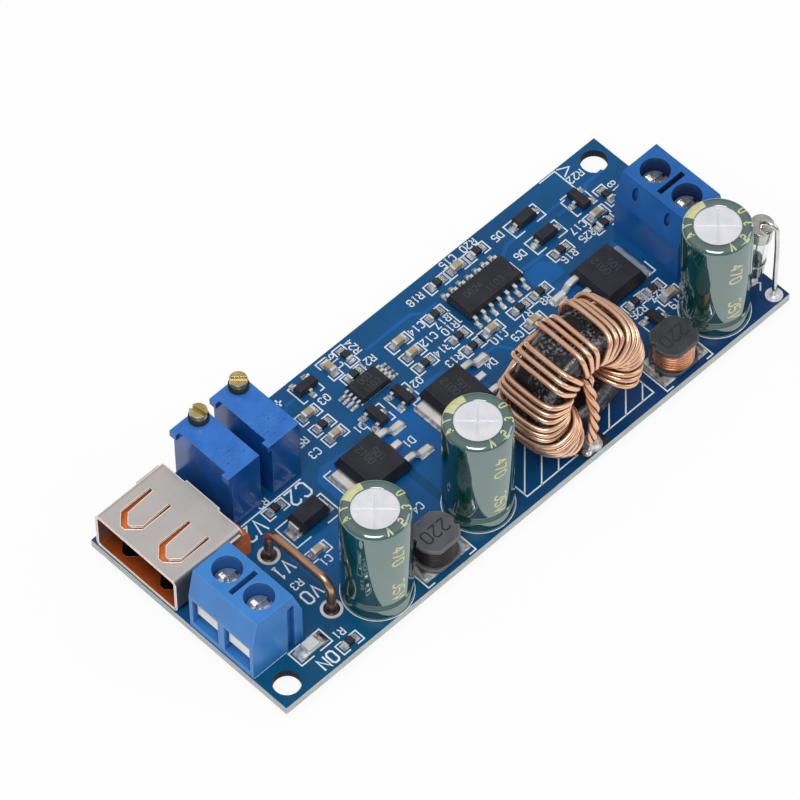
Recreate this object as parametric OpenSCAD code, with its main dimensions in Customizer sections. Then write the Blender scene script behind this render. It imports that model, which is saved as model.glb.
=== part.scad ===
// Boost converter module: a loaded circuit board with a USB socket, two screw
// terminals, two multi-turn trimmers, capacitors, chokes and a wound toroid.
// Millimetres. The board lies flat with its underside at z = 0. The origin is
// the board's centre, which is also midway between its two fixing holes.
// The USB socket and the output terminal are at the -X end, and +Y is the back.

/* [Board] */
// Length of the board along X
board_length = 80; // [72:0.5:96]
// Width of the board along Y
board_width = 31.6; // [28.6:0.2:40]
// Thickness of the board
board_thickness = 1.2; // [0.8:0.1:2]
// Diameter of the two fixing holes
fixing_hole = 3.3; // [2.5:0.1:3.5]
// Distance of a fixing hole from its two board edges
fixing_inset = 2.4; // [2.1:0.1:2.7]
// How far the leads stand out below the board
lead_tail = 1.4; // [1:0.1:2.5]
// Gap all round a lead in its board hole
lead_gap = 0.15; // [0.1:0.05:0.25]
// Height of the solder under a surface-mounted part
solder_height = 0.1; // [0.05:0.05:0.2]
// Width of the solder round a lead under the board
fillet_width = 0.35; // [0.25:0.05:0.4]

/* [USB socket] */
// Depth of the socket shell from its mouth to its back
usb_depth = 10.1; // [9.6:0.1:10.6]
// Width of the socket shell
usb_width = 13.1; // [12.6:0.1:13.6]
// Height of the socket shell
usb_height = 5.7; // [5.5:0.1:6.5]
// Thickness of the shell sheet
usb_sheet = 0.3; // [0.2:0.05:0.4]
// Outer corner radius of the shell
usb_corner = 0.7; // [0.5:0.1:1]
// Length of the spring tongues cut in the top and the floor
spring_length = 5.4; // [4.6:0.1:5.8]
// Width of a spring tongue
spring_width = 2.5; // [2:0.1:2.8]
// Width of the slot round a spring tongue
spring_slot = 0.55; // [0.4:0.05:0.7]
// Distance of a spring tongue from the socket's middle line
spring_offset = 3.1; // [2.6:0.1:3.4]
// Inward bend of a spring tongue in degrees
spring_bend = 6; // [3:0.5:7]
// Thickness of the plastic tongue that carries the contacts
usb_tongue = 1.6; // [1.3:0.1:1.7]
// Width of one contact strip
contact_width = 1; // [0.7:0.1:1.3]

/* [Terminals] */
// Length of a terminal housing along its wire entries
terminal_length = 10.2; // [10:0.1:10.6]
// Depth of a terminal housing from the entries to its back
terminal_depth = 7.6; // [7.3:0.1:7.9]
// Height of a terminal housing
terminal_height = 10; // [9.6:0.1:11.5]
// Height at which the front and back slopes start
terminal_shoulder = 6; // [5.9:0.1:6.4]
// How far the front slope leans back
front_slope = 0.85; // [0.6:0.05:1]
// How far the back slope leans forward
back_slope = 1.3; // [0.9:0.05:1.4]
// Distance between the two poles
pole_pitch = 5.08; // [5:0.02:5.2]
// Width of a wire entry
entry_width = 4.1; // [3.8:0.1:4.3]
// Height of the plastic floor under a wire entry
entry_floor = 0.9; // [0.7:0.1:1.1]
// Diameter of the bore above a clamp screw
screw_bore = 3.6; // [3.5:0.1:4]
// Diameter of a clamp screw's head
clamp_head = 3.2; // [2.9:0.1:3.3]
// Diameter of a clamp screw's shank
clamp_shank = 2.4; // [2:0.1:2.6]
// Running gap all round the shank in its nut plate
shank_gap = 0.05; // [0.03:0.01:0.09]
// Depth of a clamp screw's head below the housing's top
clamp_sink = 2.2; // [1.5:0.1:2.4]
// Thickness of the cage sheet
cage_sheet = 0.8; // [0.6:0.05:0.85]
// Gap between a cage and its pocket
cage_gap = 0.1; // [0.05:0.05:0.2]

/* [Trimmers] */
// Length of a trimmer case along Y
trimmer_length = 9.5; // [9:0.1:9.8]
// Width of a trimmer case along X
trimmer_width = 4.8; // [4.4:0.1:5.2]
// Height of a trimmer case
trimmer_height = 10; // [9:0.1:11]
// Thickness of the lid at the top of the case
trimmer_lid = 1; // [0.7:0.1:1.4]
// How far the lid's corner nubs stand out
nub_reach = 0.6; // [0.4:0.05:0.8]
// Height of the feet under the case
trimmer_foot = 0.4; // [0.3:0.05:0.6]
// Diameter of the adjusting screw
adjust_screw = 2.1; // [1.7:0.1:2.2]
// Running gap all round the adjusting screw
adjust_gap = 0.07; // [0.03:0.01:0.09]
// Height of the adjusting screw above the lid
adjust_proud = 1.5; // [1.2:0.1:1.8]
// Depth of the adjusting screw in the case
adjust_depth = 3; // [2:0.2:5]
// Pitch of the three pins
trimmer_pitch = 2.54; // [2.5:0.02:2.6]

/* [Capacitors] */
// Diameter of an aluminium can
can_diameter = 8; // [7.4:0.1:8.1]
// Height of an aluminium can above the board
can_height = 16; // [12:0.5:20]
// Thickness of the printed sleeve
sleeve_wall = 0.1; // [0.08:0.02:0.14]
// Gap between sleeve and can
sleeve_gap = 0.02; // [0.01:0.01:0.05]
// Radius of the bare disc that the sleeve leaves at the top
bare_disc = 2.75; // [2.2:0.05:3]
// Pitch of a capacitor's two leads
can_pitch = 3.5; // [3:0.1:4]

/* [Toroid] */
// Outer diameter of the ring core
core_outer = 14.8; // [14:0.1:15.2]
// Inner diameter of the ring core
core_inner = 7.8; // [7.6:0.1:7.9]
// Width of the ring core along its axis
core_width = 6.3; // [5.6:0.1:6.6]
// Edge chamfer of the ring core
core_edge = 0.8; // [0.6:0.1:1]
// Diameter of one winding strand
strand = 0.64; // [0.5:0.02:0.66]
// Gap between the winding and the core
strand_gap = 0.08; // [0.06:0.01:0.12]
// Angle between neighbouring strands outside the ring
strand_step = 5.7; // [5.6:0.1:6.8]

/* [Drum chokes] */
// Diameter of a drum choke
drum_diameter = 5.7; // [5.2:0.1:5.9]
// Height of a drum choke above its terminals
drum_height = 4.3; // [3.6:0.1:5]
// Thickness of each drum flange
drum_flange = 1; // [0.7:0.1:1.2]
// Diameter of the drum's inner hub
drum_hub = 2.6; // [2.2:0.1:3]
// Diameter of the wound coil
drum_coil = 5; // [4.4:0.1:5.1]

/* [Shunt and fuse] */
// Diameter of the shunt wire
shunt_wire_d = 1.1; // [0.8:0.1:1.3]
// Height of the shunt wire's middle above the board
shunt_rise = 4.9; // [3.5:0.1:6.5]
// Distance between the shunt's two holes
shunt_span = 10.1; // [9:0.1:10.6]
// Diameter of the fuse's end caps
fuse_cap = 2.9; // [2.6:0.1:3]
// Length of one end cap
fuse_cap_length = 2.2; // [1.6:0.1:2.6]
// Length of the fuse over its end caps
fuse_length = 9.6; // [8:0.2:10.4]
// Diameter of the fuse's leads
fuse_lead = 0.55; // [0.45:0.05:0.6]
// Lean of the fuse towards the front edge in degrees
fuse_lean = 7.6; // [6:0.2:8]

/* [Surface parts] */
// Length of a power package's body along Y
power_length = 6.5; // [6.2:0.1:6.7]
// Width of a power package's body along X
power_width = 6.1; // [5.9:0.1:6.2]
// Height of a power package above its pad
power_height = 2.3; // [2.2:0.1:2.4]
// Thickness of a power package's tab and leads
power_sheet = 0.5; // [0.4:0.05:0.6]
// Length of a chip resistor or chip capacitor
chip_length = 1.6; // [1.5:0.05:1.7]
// Width of a chip resistor or chip capacitor
chip_width = 0.85; // [0.75:0.05:0.95]
// Length of a chip's end termination
chip_end = 0.3; // [0.2:0.05:0.4]
// Height of a chip resistor
resistor_height = 0.45; // [0.4:0.05:0.6]
// Height of a chip capacitor
capacitor_height = 0.8; // [0.7:0.05:0.95]

/* [Hidden] */
$fn = 48;
eps = 0.01;
top = board_thickness;
part_z = top + solder_height;
tail_z = -lead_tail;

// Places are counted in cells from a board edge, on a grid of 80 by 31.6 cells
// that spreads or closes up with the board
cell = [board_length / 80, board_width / 31.6];
left_edge = -board_length / 2;
right_edge = board_length / 2;
front_edge = -board_width / 2;
back_edge = board_width / 2;
function from_left(n) = left_edge + n * cell[0];
function from_right(n) = right_edge - n * cell[0];
function from_front(n) = front_edge + n * cell[1];
function from_back(n) = back_edge - n * cell[1];
fixing_points = [
  [left_edge + fixing_inset, front_edge + fixing_inset],
  [right_edge - fixing_inset, back_edge - fixing_inset],
];

// USB socket: mouth plane, middle line, insulator and leg sizes
usb_inset = 0.2;
usb_place = [left_edge + usb_inset, from_back(7.35), top];
usb_mouth = 1.4;
spring_nose = 0.45;
usb_base_x = usb_mouth + spring_length + 0.8;
usb_base_out = 1.3;
usb_base_in = 1.2;
usb_base_high = 4.3;
usb_base_round = 1.2;
usb_fit = 0.05;
usb_tongue_z = usb_height - usb_sheet - (spring_length + 0.3) * sin(spring_bend) - usb_tongue - 0.3;
usb_tongue_width = usb_width - 2 * usb_sheet - 1.2;
contact_sheet = 0.15;
contact_places = [-3.5, -1, 1, 3.5];
usb_lug = [3.4, 0.6, 0.9];
usb_lug_x = 6.4;
usb_lug_drop = 0.5;
usb_leg = [1, usb_sheet];
usb_leg_x = 6.2;
usb_pin = 0.7;
usb_pin_x = usb_depth + 0.35;

// Terminals: place of each middle line, then levels inside a housing
terminal_inset = 0.1;
output_terminal = [left_edge + terminal_inset, from_front(10.4), top, 0];
input_terminal = [right_edge - terminal_inset, from_front(15.6), top, 180];
pole_sides = [-1, 1];
screw_u = 3.65;
nut_top = terminal_shoulder + 0.3;
nut_bottom = nut_top - cage_sheet;
pocket_front = 0.85;
pocket_back = terminal_depth - back_slope - 0.4;
leaf_front = 0.5;
leaf_sheet = 0.3;
leaf_low = 2.2;
terminal_pin = 1;
clamp_head_high = 1.3;
clamp_tip_z = leaf_low + leaf_sheet + 0.1;
clamp_slot = 0.6;
separator_width = 0.7;
separator_depth = 1.6;
rib_size = [0.9, 0.6];
back_slot = [0.95, 1.9];

// Trimmers: side by side behind the USB socket
trimmer_usb_gap = 0.35;
trimmer_space = 1.35;
voltage_trimmer = [
  usb_place[0] + usb_depth + usb_base_out + trimmer_usb_gap + trimmer_width / 2,
  from_back(5.4), top,
];
current_trimmer = voltage_trimmer + [trimmer_width + trimmer_space, 0, 0];
trimmer_screw_at = [trimmer_width / 2 - 1.3, trimmer_length / 2 - 1.1];
nub_length = 1;
trimmer_pin = 0.5;
adjust_slot = 0.5;
seal_high = 0.55;
seal_wall = 0.12;
seal_gap = 0.05;

// Front row, left to right: output capacitor, output choke, link capacitor,
// toroid, input choke, input capacitor and fuse. What the pieces leave free of
// the board's length is shared among the gaps between them.
can_r = can_diameter / 2;
sleeve_r = can_r + sleeve_gap + sleeve_wall;
drum_r = drum_diameter / 2;
choke_pad_out = 0.65;
choke_reach = drum_r + choke_pad_out;
ring_reach = core_outer / 2 + strand_gap + strand;
row_reach = [sleeve_r, choke_reach, sleeve_r, ring_reach, choke_reach, sleeve_r, fuse_cap / 2];
row_gaps = [0.28, 0.73, 3.61, 2.18, 0.78, 0.18, 0.4];
row_start = from_left(13.98);
function total(v, n) = n == 0 ? 0 : v[n - 1] + total(v, n - 1);
row_free = right_edge - row_start - 2 * total(row_reach, len(row_reach));
gap_scale = row_free / total(row_gaps, len(row_gaps));
function row_x(i) = row_start + 2 * total(row_reach, i) + row_reach[i] + gap_scale * total(row_gaps, i);

// Capacitors
output_can = [row_x(0), from_front(4.2), top];
link_can = [row_x(2), from_front(4.6), top];
input_can = [row_x(5), from_front(4.6), top];
cans = [output_can, link_can, input_can];
can_foot = 0.4;
can_edge = 0.5;
crimp_z = 2.2;
crimp_half = 0.6;
crimp_depth = 0.4;
score_width = 0.25;
score_depth = 0.15;
can_lead = 0.6;

// Toroid: the ring stands on edge with its axis along Y
toroid_place = [row_x(3), from_front(5.8)];
toroid_z = top + strand + 0.15 + core_outer / 2;
turn_outer = [236, 217, 196, 167, 130, 95, 62, 30, 3, -27];
turn_bore = [240, 217, 199, 164, 129, 94, 60, 26, -8, -42];
turn_layer = [0, 1, 0, 0, 0, 0, 0, 0, 0, 0];
turn_slack = [0.35, 1.1, 0.3, 0.4, 0.2, 0, 0, 0.2, 0.3, 0.5];
strand_count = 3;
turn_count = len(turn_outer);
last_turn = turn_count - 1;
layer_step = strand + 0.06;
rest_outer = core_outer / 2 + strand_gap + strand / 2;
rest_inner = core_inner / 2 - strand_gap - strand / 2;
rest_face = core_width / 2 + strand_gap + strand / 2;
bend_r = core_edge + 0.1;
bend_angles = [0, 30, 60, 90];
strand_sides = 7;
tail_twist = 0.78 * strand;
tail_pitch = 5;
tail_hole = 2 * (tail_twist + strand / 2);
tail_steps = 18;
front_tail = [-1.1, from_front(1.25) - toroid_place[1]];
back_tail = [-1.3, from_front(11.7) - toroid_place[1]];

// Drum chokes
output_choke = [row_x(1), from_front(3), top];
input_choke = [row_x(4), from_front(3), top];
drum_pad = [1.5, 4, 0.2];
drum_pad_out = 0.3;
choke_pad = drum_pad[0] + 0.5;
drum_notch = [0.6, 1.3];
drum_coil_gap = 0.04;

// Shunt and fuse
shunt_place = [from_left(12.7), from_front(11)];
shunt_bend = shunt_wire_d / 2 + 1.2;
fuse_place = [row_x(6), from_front(4.7), top];
fuse_stand = 2.6;
fuse_tube_d = fuse_cap - 0.3;
fuse_bore = fuse_tube_d - 0.6;
fuse_wire = 0.2;
fuse_high = fuse_stand + fuse_length;
fuse_return = [0.45, -fuse_high * sin(fuse_lean) - fuse_cap / 2 - fuse_lead / 2 - 0.15];
fuse_over = 0.9;
fuse_joint = fuse_lead * 1.25;

// Power packages: place of the body's middle, then the turn about Z
output_rectifier = [from_left(29), from_front(16.05), 0];
link_rectifier = [from_left(42.4), from_front(16.05), 0];
main_switch = [from_right(13.5), from_front(15.9), 180];
tab_out = 1;
tab_width = 5.3;
power_lead = 0.8;
power_lead_pitch = 4.57;
power_lead_reach = 3.6;
power_stub = 1.2;
power_foot = 1.5;
power_lead_z = 1;

// Small packages
comparator = [from_left(55.4), from_back(6.85)];
comparator_body_size = [8.65, 3.9, 1.5];
comparator_pitch = 1.27;
controller = [from_left(36.6), from_back(6.95)];
controller_body_size = [4.4, 3, 0.95];
controller_pitch = 0.65;
clamp_diode = [from_left(19.1), from_front(16.25)];
clamp_diode_size = [4.3, 2.6, 2.1];
clamp_end = [0.25, 1.5];
transistor_size = [1.3, 2.9, 1];
transistor_pitch = 1.9;
transistors = [
  [from_left(34.3), from_front(20.9), 0],
  [from_left(38.4), from_front(20.9), 0],
  [from_left(31.4), from_back(2.1), 270],
  [from_right(7.8), from_back(5.3), 180],
  [from_right(13.6), from_front(7.9), 0],
];
diode_size = [2.7, 1.6, 1.1];
diodes = [
  [from_right(14.2), from_back(2.8)],
  [from_right(14.1), from_back(6.2)],
];
lamp_size = [3.2, 1.6, 1];
lamp_gap = 0.6;
lamp = [from_left(7.45), output_terminal[1] - terminal_length / 2 - lamp_gap - lamp_size[1] / 2];

// Chip resistors and chip capacitors: place, then the turn about Z
resistors = [
  [from_left(11), from_front(1.3), 0],
  [from_left(17.5), from_front(20), 0],
  [from_left(29.2), from_back(7.1), 0],
  [from_left(36.6), from_back(4.6), 0],
  [from_left(37.8), from_back(2), 90],
  [from_left(43.4), from_back(9.2), 0],
  [from_left(49), from_back(5.1), 0],
  [from_left(48.8), from_back(9.2), 0],
  [from_left(49), from_back(11.3), 0],
  [from_left(52.3), from_back(2.1), 0],
  [from_left(58.7), from_back(2.1), 0],
  [from_left(56.6), from_back(11.3), 0],
  [from_left(59.8), from_back(11.3), 0],
  [from_right(14.3), from_back(8.8), 0],
  [from_right(8), from_back(9.6), 0],
  [from_right(4.9), from_back(6.9), 90],
  [from_right(10.7), from_front(11.5), 0],
  [from_right(13.5), from_front(11.6), 0],
];
capacitors = [
  [from_left(29.1), from_back(4.9), 0],
  [from_left(29.3), from_back(9.1), 0],
  [from_left(35.2), from_back(2), 90],
  [from_left(43.4), from_back(5), 0],
  [from_left(43.4), from_back(7.2), 0],
  [from_left(55.5), from_back(2.1), 0],
  [from_left(52.1), from_back(11.2), 0],
  [from_left(56.4), from_back(13.8), 0],
  [from_left(16.9), from_front(12.5), 0],
  [from_right(7.7), from_back(8.1), 0],
  [from_right(9.9), from_front(9.6), 0],
];

// Every lead that goes through the board: place and diameter
function turned(p, a) = [p[0] * cos(a) - p[1] * sin(a), p[0] * sin(a) + p[1] * cos(a)];
function terminal_pin_at(t, side) =
  [t[0], t[1]] + turned([screw_u, side * pole_pitch / 2], t[3]);
usb_leads = concat(
  [for (y = contact_places) [usb_place[0] + usb_pin_x, usb_place[1] + y, usb_pin]],
  [for (s = pole_sides) [usb_place[0] + usb_leg_x + usb_leg[0] / 2,
    usb_place[1] + s * (usb_width - usb_sheet) / 2, norm(usb_leg)]]
);
terminal_leads = [for (t = [output_terminal, input_terminal], s = pole_sides)
  concat(terminal_pin_at(t, s), terminal_pin)];
trimmer_lead_points = [for (t = [voltage_trimmer, current_trimmer], i = [-1:1])
  [t[0], t[1] + i * trimmer_pitch, trimmer_pin]];
can_lead_points = [for (c = cans, s = pole_sides)
  [c[0] + s * can_pitch / 2, c[1], can_lead]];
toroid_leads = [for (p = [front_tail, back_tail])
  [toroid_place[0] + p[0], toroid_place[1] + p[1], tail_hole]];
wire_leads = concat(
  [for (s = pole_sides) [shunt_place[0], shunt_place[1] + s * shunt_span / 2, shunt_wire_d]],
  [[fuse_place[0], fuse_place[1], fuse_lead],
    [fuse_place[0] + fuse_return[0], fuse_place[1] + fuse_return[1], fuse_lead]]
);
leads = concat(usb_leads, terminal_leads, trimmer_lead_points, can_lead_points, toroid_leads, wire_leads);

board_colour = [0.1, 0.32, 0.55];
steel_colour = [0.75, 0.75, 0.75];
tin_colour = [0.82, 0.82, 0.8];
housing_colour = [0.07, 0.35, 0.72];
trimmer_colour = [0.08, 0.28, 0.62];
brass_colour = [0.8, 0.62, 0.25];
orange_colour = [0.9, 0.45, 0.1];
copper_colour = [0.72, 0.36, 0.16];
sleeve_colour = [0.05, 0.16, 0.12];
black_colour = [0.12, 0.12, 0.13];
grey_colour = [0.3, 0.3, 0.32];
tan_colour = [0.62, 0.47, 0.33];
glass_colour = [0.8, 0.85, 0.85];
pale_colour = [0.9, 0.88, 0.8];

// A bar along X with rounded long edges, its floor at z = 0
module rounded_bar(l, w, h, r) {
  translate([0, r - w / 2, 0])
    cube([l, w - 2 * r, h]);
  translate([0, -w / 2, r])
    cube([l, w, h - 2 * r]);
  for (y = [r - w / 2, w / 2 - r], z = [r, h - r])
    translate([0, y, z])
      rotate([0, 90, 0])
        cylinder(r = r, h = l);
}

// A flat strip along X with a blunt nose at x = 0
module nosed_strip(l, w, t) {
  nose = w * 0.4;
  linear_extrude(t)
    polygon([
      [0, nose - w / 2], [nose, -w / 2], [l, -w / 2],
      [l, w / 2], [nose, w / 2], [0, w / 2 - nose],
    ]);
}

// A moulded block with drafted sides, its floor at z = 0
module moulded(l, w, h, draft, split) {
  intersection() {
    rotate([90, 0, 0])
      translate([0, 0, -w])
        linear_extrude(2 * w)
          moulded_profile(l, h, draft, split);
    rotate([90, 0, 90])
      translate([0, 0, -l])
        linear_extrude(2 * l)
          moulded_profile(w, h, draft, split);
  }
}

module moulded_profile(w, h, draft, split) {
  polygon([
    [-w / 2 + draft / 2, 0], [w / 2 - draft / 2, 0],
    [w / 2, split], [w / 2 - draft, h],
    [-w / 2 + draft, h], [-w / 2, split],
  ]);
}

// A lead that leaves a body at x = 0 and height z0, and steps down to a foot
module gull_lead(z0, reach, foot, width, t) {
  translate([0, width / 2, 0])
    rotate([90, 0, 0])
      linear_extrude(width)
        polygon([
          [0, z0], [reach - foot - t * 0.3, z0], [reach - foot + t * 0.4, 0],
          [reach, 0], [reach, t], [reach - foot + t * 1.1, t],
          [reach - foot + t * 0.4, z0 + t], [0, z0 + t],
        ]);
}

module circuit_board() {
  color(board_colour)
    difference() {
      translate([-board_length / 2, -board_width / 2, 0])
        cube([board_length, board_width, board_thickness]);
      for (p = fixing_points)
        translate([p[0], p[1], -1])
          cylinder(d = fixing_hole, h = board_thickness + 2);
      for (p = leads)
        translate([p[0], p[1], -1])
          cylinder(d = p[2] + 2 * lead_gap, h = board_thickness + 2);
    }
}

// The window round a spring tongue, and the bent tongue that fills it
module spring_window() {
  translate([usb_mouth - spring_nose, 0, -1])
    nosed_strip(spring_length + spring_nose, spring_width + 2 * spring_slot, 2);
}

module spring_tongue() {
  reach = spring_length - spring_slot + usb_sheet;
  translate([usb_mouth + spring_length + usb_sheet, 0, 0])
    rotate([0, -spring_bend, 0])
      translate([-reach, 0, -usb_sheet])
        nosed_strip(reach, spring_width, usb_sheet);
}

module usb_shell() {
  color(steel_colour)
    translate(usb_place) {
      difference() {
        rounded_bar(usb_depth, usb_width, usb_height, usb_corner);
        translate([-1, 0, usb_sheet])
          rounded_bar(usb_depth + 2, usb_width - 2 * usb_sheet, usb_height - 2 * usb_sheet,
            usb_corner - usb_sheet);
        for (s = pole_sides)
          translate([0, s * spring_offset, 0]) {
            spring_window();
            translate([0, 0, usb_height])
              spring_window();
          }
        translate([usb_depth - usb_base_in, -usb_width, -1])
          cube([usb_base_in + 1, 2 * usb_width, usb_base_high + usb_fit + 1]);
      }
      for (s = pole_sides)
        translate([0, s * spring_offset, 0]) {
          translate([0, 0, usb_height])
            spring_tongue();
          mirror([0, 0, 1])
            spring_tongue();
        }
      translate([usb_depth - eps, -2.65, usb_base_high + 0.4])
        cube([usb_sheet, 5.3, usb_height - usb_base_high - 0.4]);
      for (s = pole_sides)
        translate([usb_lug_x + usb_lug[0] / 2, s * (usb_width + usb_lug[1] - usb_sheet / 2) / 2,
          usb_height - usb_lug_drop - usb_lug[2] / 2])
          cube([usb_lug[0], usb_lug[1] + usb_sheet / 2, usb_lug[2]], center = true);
      for (s = pole_sides)
        translate([usb_leg_x, s * (usb_width - usb_sheet) / 2 - usb_leg[1] / 2, tail_z - top])
          cube([usb_leg[0], usb_leg[1], lead_tail + top + usb_height / 2]);
    }
}

module usb_insulator() {
  base_width = usb_width - 2 * usb_sheet - 2 * usb_fit;
  inside = usb_sheet + usb_fit;
  color(orange_colour)
    translate(usb_place) {
      translate([usb_base_x, -base_width / 2 + usb_corner, inside])
        cube([usb_depth - usb_base_x - usb_fit, base_width - 2 * usb_corner, usb_height - 2 * inside]);
      translate([usb_mouth - 0.3, -usb_tongue_width / 2, usb_tongue_z])
        cube([usb_base_x - usb_mouth + 0.3 + eps, usb_tongue_width, usb_tongue]);
      translate([usb_depth, usb_width / 2 - usb_fit, 0])
        rotate([90, 0, 0])
          linear_extrude(usb_width - 2 * usb_fit)
            usb_base_profile();
    }
}

// Side view of the insulator's foot, which shows behind the shell
module usb_base_profile() {
  round_x = usb_base_out - usb_base_round;
  round_z = usb_base_high - usb_base_round;
  translate([-usb_base_in + usb_fit, 0])
    square([usb_base_in - usb_fit + round_x, usb_base_high]);
  square([usb_base_out, round_z]);
  translate([round_x, round_z])
    intersection() {
      circle(r = usb_base_round);
      square(2 * usb_base_round);
    }
}

module usb_contacts() {
  color(brass_colour)
    translate(usb_place)
      for (y = contact_places) {
        translate([usb_mouth + 0.2, y - contact_width / 2, usb_tongue_z - contact_sheet])
          cube([usb_base_x - usb_mouth - 0.2, contact_width, contact_sheet]);
        translate([usb_pin_x, y, tail_z - top])
          cylinder(d = usb_pin, h = lead_tail + top);
      }
}

// One terminal, with its wire entries at x = 0 and its back at terminal_depth
module terminal_profile() {
  polygon([
    [0, 0], [terminal_depth, 0], [terminal_depth, terminal_shoulder],
    [terminal_depth - back_slope, terminal_height], [front_slope, terminal_height],
    [0, terminal_shoulder],
  ]);
}

module place_terminal(t) {
  translate([t[0], t[1], t[2]])
    rotate([0, 0, t[3]])
      children();
}

module terminal_housing(t) {
  color(housing_colour)
    place_terminal(t)
      difference() {
        union() {
          translate([0, terminal_length / 2, 0])
            rotate([90, 0, 0])
              linear_extrude(terminal_length)
                terminal_profile();
          translate([terminal_depth - back_slope - rib_size[0], terminal_length / 2 - eps, 0])
            cube([rib_size[0], rib_size[1], terminal_shoulder + 2]);
        }
        translate([terminal_depth - back_slope - rib_size[0] - 0.1, -terminal_length / 2 - eps, -1])
          cube([rib_size[0] + 0.2, rib_size[1] + 0.1, terminal_shoulder + 3.1]);
        for (s = pole_sides)
          translate([0, s * pole_pitch / 2, 0])
            terminal_pocket();
        translate([screw_u - 2, -separator_width / 2, terminal_height - separator_depth])
          cube([4, separator_width, separator_depth + 1]);
      }
}

module terminal_pocket() {
  translate([-1, -entry_width / 2, entry_floor])
    cube([pocket_front + 1 + eps, entry_width, nut_bottom - entry_floor - 0.05]);
  translate([pocket_front, -entry_width / 2, entry_floor])
    cube([pocket_back - pocket_front, entry_width, nut_top + cage_gap - entry_floor]);
  translate([screw_u, 0, nut_top])
    cylinder(d = screw_bore, h = terminal_height);
  translate([screw_u, 0, -1])
    cylinder(d = terminal_pin + 2 * lead_gap, h = entry_floor + 2);
  translate([terminal_depth - back_slope / 2, 0, (terminal_shoulder + terminal_height) / 2 + 0.4])
    rotate([0, 90 - atan(back_slope / (terminal_height - terminal_shoulder)), 0])
      translate([0, 0, -0.5])
        scale([1, back_slot[0] / back_slot[1], 1])
          cylinder(d = back_slot[1], h = 2);
}

// Folded cage: nut plate, back, floor, leaf under the screw, and pin
module terminal_cages(t) {
  cage_width = entry_width - 2 * cage_gap;
  color(tin_colour)
    place_terminal(t)
      for (s = pole_sides)
        translate([0, s * pole_pitch / 2, 0])
          difference() {
            union() {
              translate([0, cage_width / 2, 0])
                rotate([90, 0, 0])
                  linear_extrude(cage_width)
                    cage_profile();
              translate([0, (cage_width - 0.4) / 2, 0])
                rotate([90, 0, 0])
                  linear_extrude(cage_width - 0.4)
                    leaf_profile();
              translate([screw_u, 0, tail_z - top])
                cylinder(d = terminal_pin, h = lead_tail + top + entry_floor + 0.2);
            }
            translate([screw_u, 0, clamp_tip_z])
              cylinder(d = clamp_shank + 2 * shank_gap, h = terminal_height);
          }
}

module cage_profile() {
  x0 = pocket_front + cage_gap;
  x1 = pocket_back - cage_gap;
  floor_sheet = 0.6;
  polygon([
    [x0 + 0.5, entry_floor], [x1, entry_floor], [x1, nut_top], [x0, nut_top], [x0, nut_bottom],
    [x1 - 0.6, nut_bottom], [x1 - 0.6, entry_floor + floor_sheet], [x0 + 0.5, entry_floor + floor_sheet],
  ]);
}

module leaf_profile() {
  x0 = pocket_front + cage_gap;
  polygon([
    [x0, nut_bottom + eps], [leaf_front, nut_bottom - 0.4], [leaf_front, leaf_low + 0.4],
    [leaf_front + 0.4, leaf_low], [x0 + 3.6, leaf_low], [x0 + 3.6, leaf_low + leaf_sheet],
    [leaf_front + 0.5, leaf_low + leaf_sheet], [leaf_front + leaf_sheet, leaf_low + 0.5],
    [leaf_front + leaf_sheet, nut_bottom - 0.45], [x0 + 0.4, nut_bottom + eps],
  ]);
}

module terminal_screw(t, side) {
  head_z = max(terminal_height - clamp_sink - clamp_head_high, nut_top + 0.1);
  color(steel_colour)
    place_terminal(t)
      translate([screw_u, side * pole_pitch / 2, 0])
        difference() {
          union() {
            translate([0, 0, head_z])
              cylinder(d = clamp_head, h = clamp_head_high);
            translate([0, 0, clamp_tip_z])
              cylinder(d = clamp_shank, h = head_z - clamp_tip_z + eps);
          }
          for (a = [0, 90])
            rotate([0, 0, a])
              translate([-clamp_head / 2 + 0.35 * a / 90, -clamp_slot / 2, head_z + clamp_head_high - 0.8])
                cube([clamp_head - 0.7 * a / 90, clamp_slot, 1]);
        }
}

// Trimmers: case with a thin lid, two corner nubs and feet
module trimmer_case(t) {
  case_width = trimmer_width - nub_reach;
  color(trimmer_colour)
    translate(t)
      difference() {
        union() {
          translate([-trimmer_width / 2 + nub_reach, -trimmer_length / 2, trimmer_foot])
            cube([case_width, trimmer_length, trimmer_height - trimmer_foot]);
          for (y = [-trimmer_length / 2, trimmer_length / 2 - nub_length]) {
            translate([-trimmer_width / 2, y, trimmer_height - trimmer_lid])
              cube([trimmer_width, nub_length, trimmer_lid]);
            translate([-trimmer_width / 2 + nub_reach, y, 0])
              cube([case_width, nub_length, trimmer_foot + eps]);
          }
        }
        translate([trimmer_screw_at[0], trimmer_screw_at[1], trimmer_height - adjust_depth - 0.05])
          cylinder(d = adjust_screw + 2 * adjust_gap, h = adjust_depth + 1);
      }
}

module trimmer_screw(t, slot_turn) {
  color(brass_colour)
    translate(t + [trimmer_screw_at[0], trimmer_screw_at[1], trimmer_height - adjust_depth])
      difference() {
        cylinder(d = adjust_screw, h = adjust_depth + adjust_proud);
        rotate([0, 0, slot_turn])
          translate([-adjust_screw, -adjust_slot / 2, adjust_depth + adjust_proud - 0.6])
            cube([2 * adjust_screw, adjust_slot, 1]);
      }
}

module trimmer_seals() {
  bore = adjust_screw + 2 * seal_gap;
  color(black_colour)
    for (t = [voltage_trimmer, current_trimmer])
      translate(t + [trimmer_screw_at[0], trimmer_screw_at[1], trimmer_height])
        difference() {
          cylinder(d = bore + 2 * seal_wall, h = seal_high);
          translate([0, 0, -1])
            cylinder(d = bore, h = seal_high + 2);
        }
}

module trimmer_pins() {
  color(tin_colour)
    for (p = trimmer_lead_points)
      translate([p[0], p[1], tail_z])
        cylinder(d = trimmer_pin, h = lead_tail + top + trimmer_foot);
}

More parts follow.
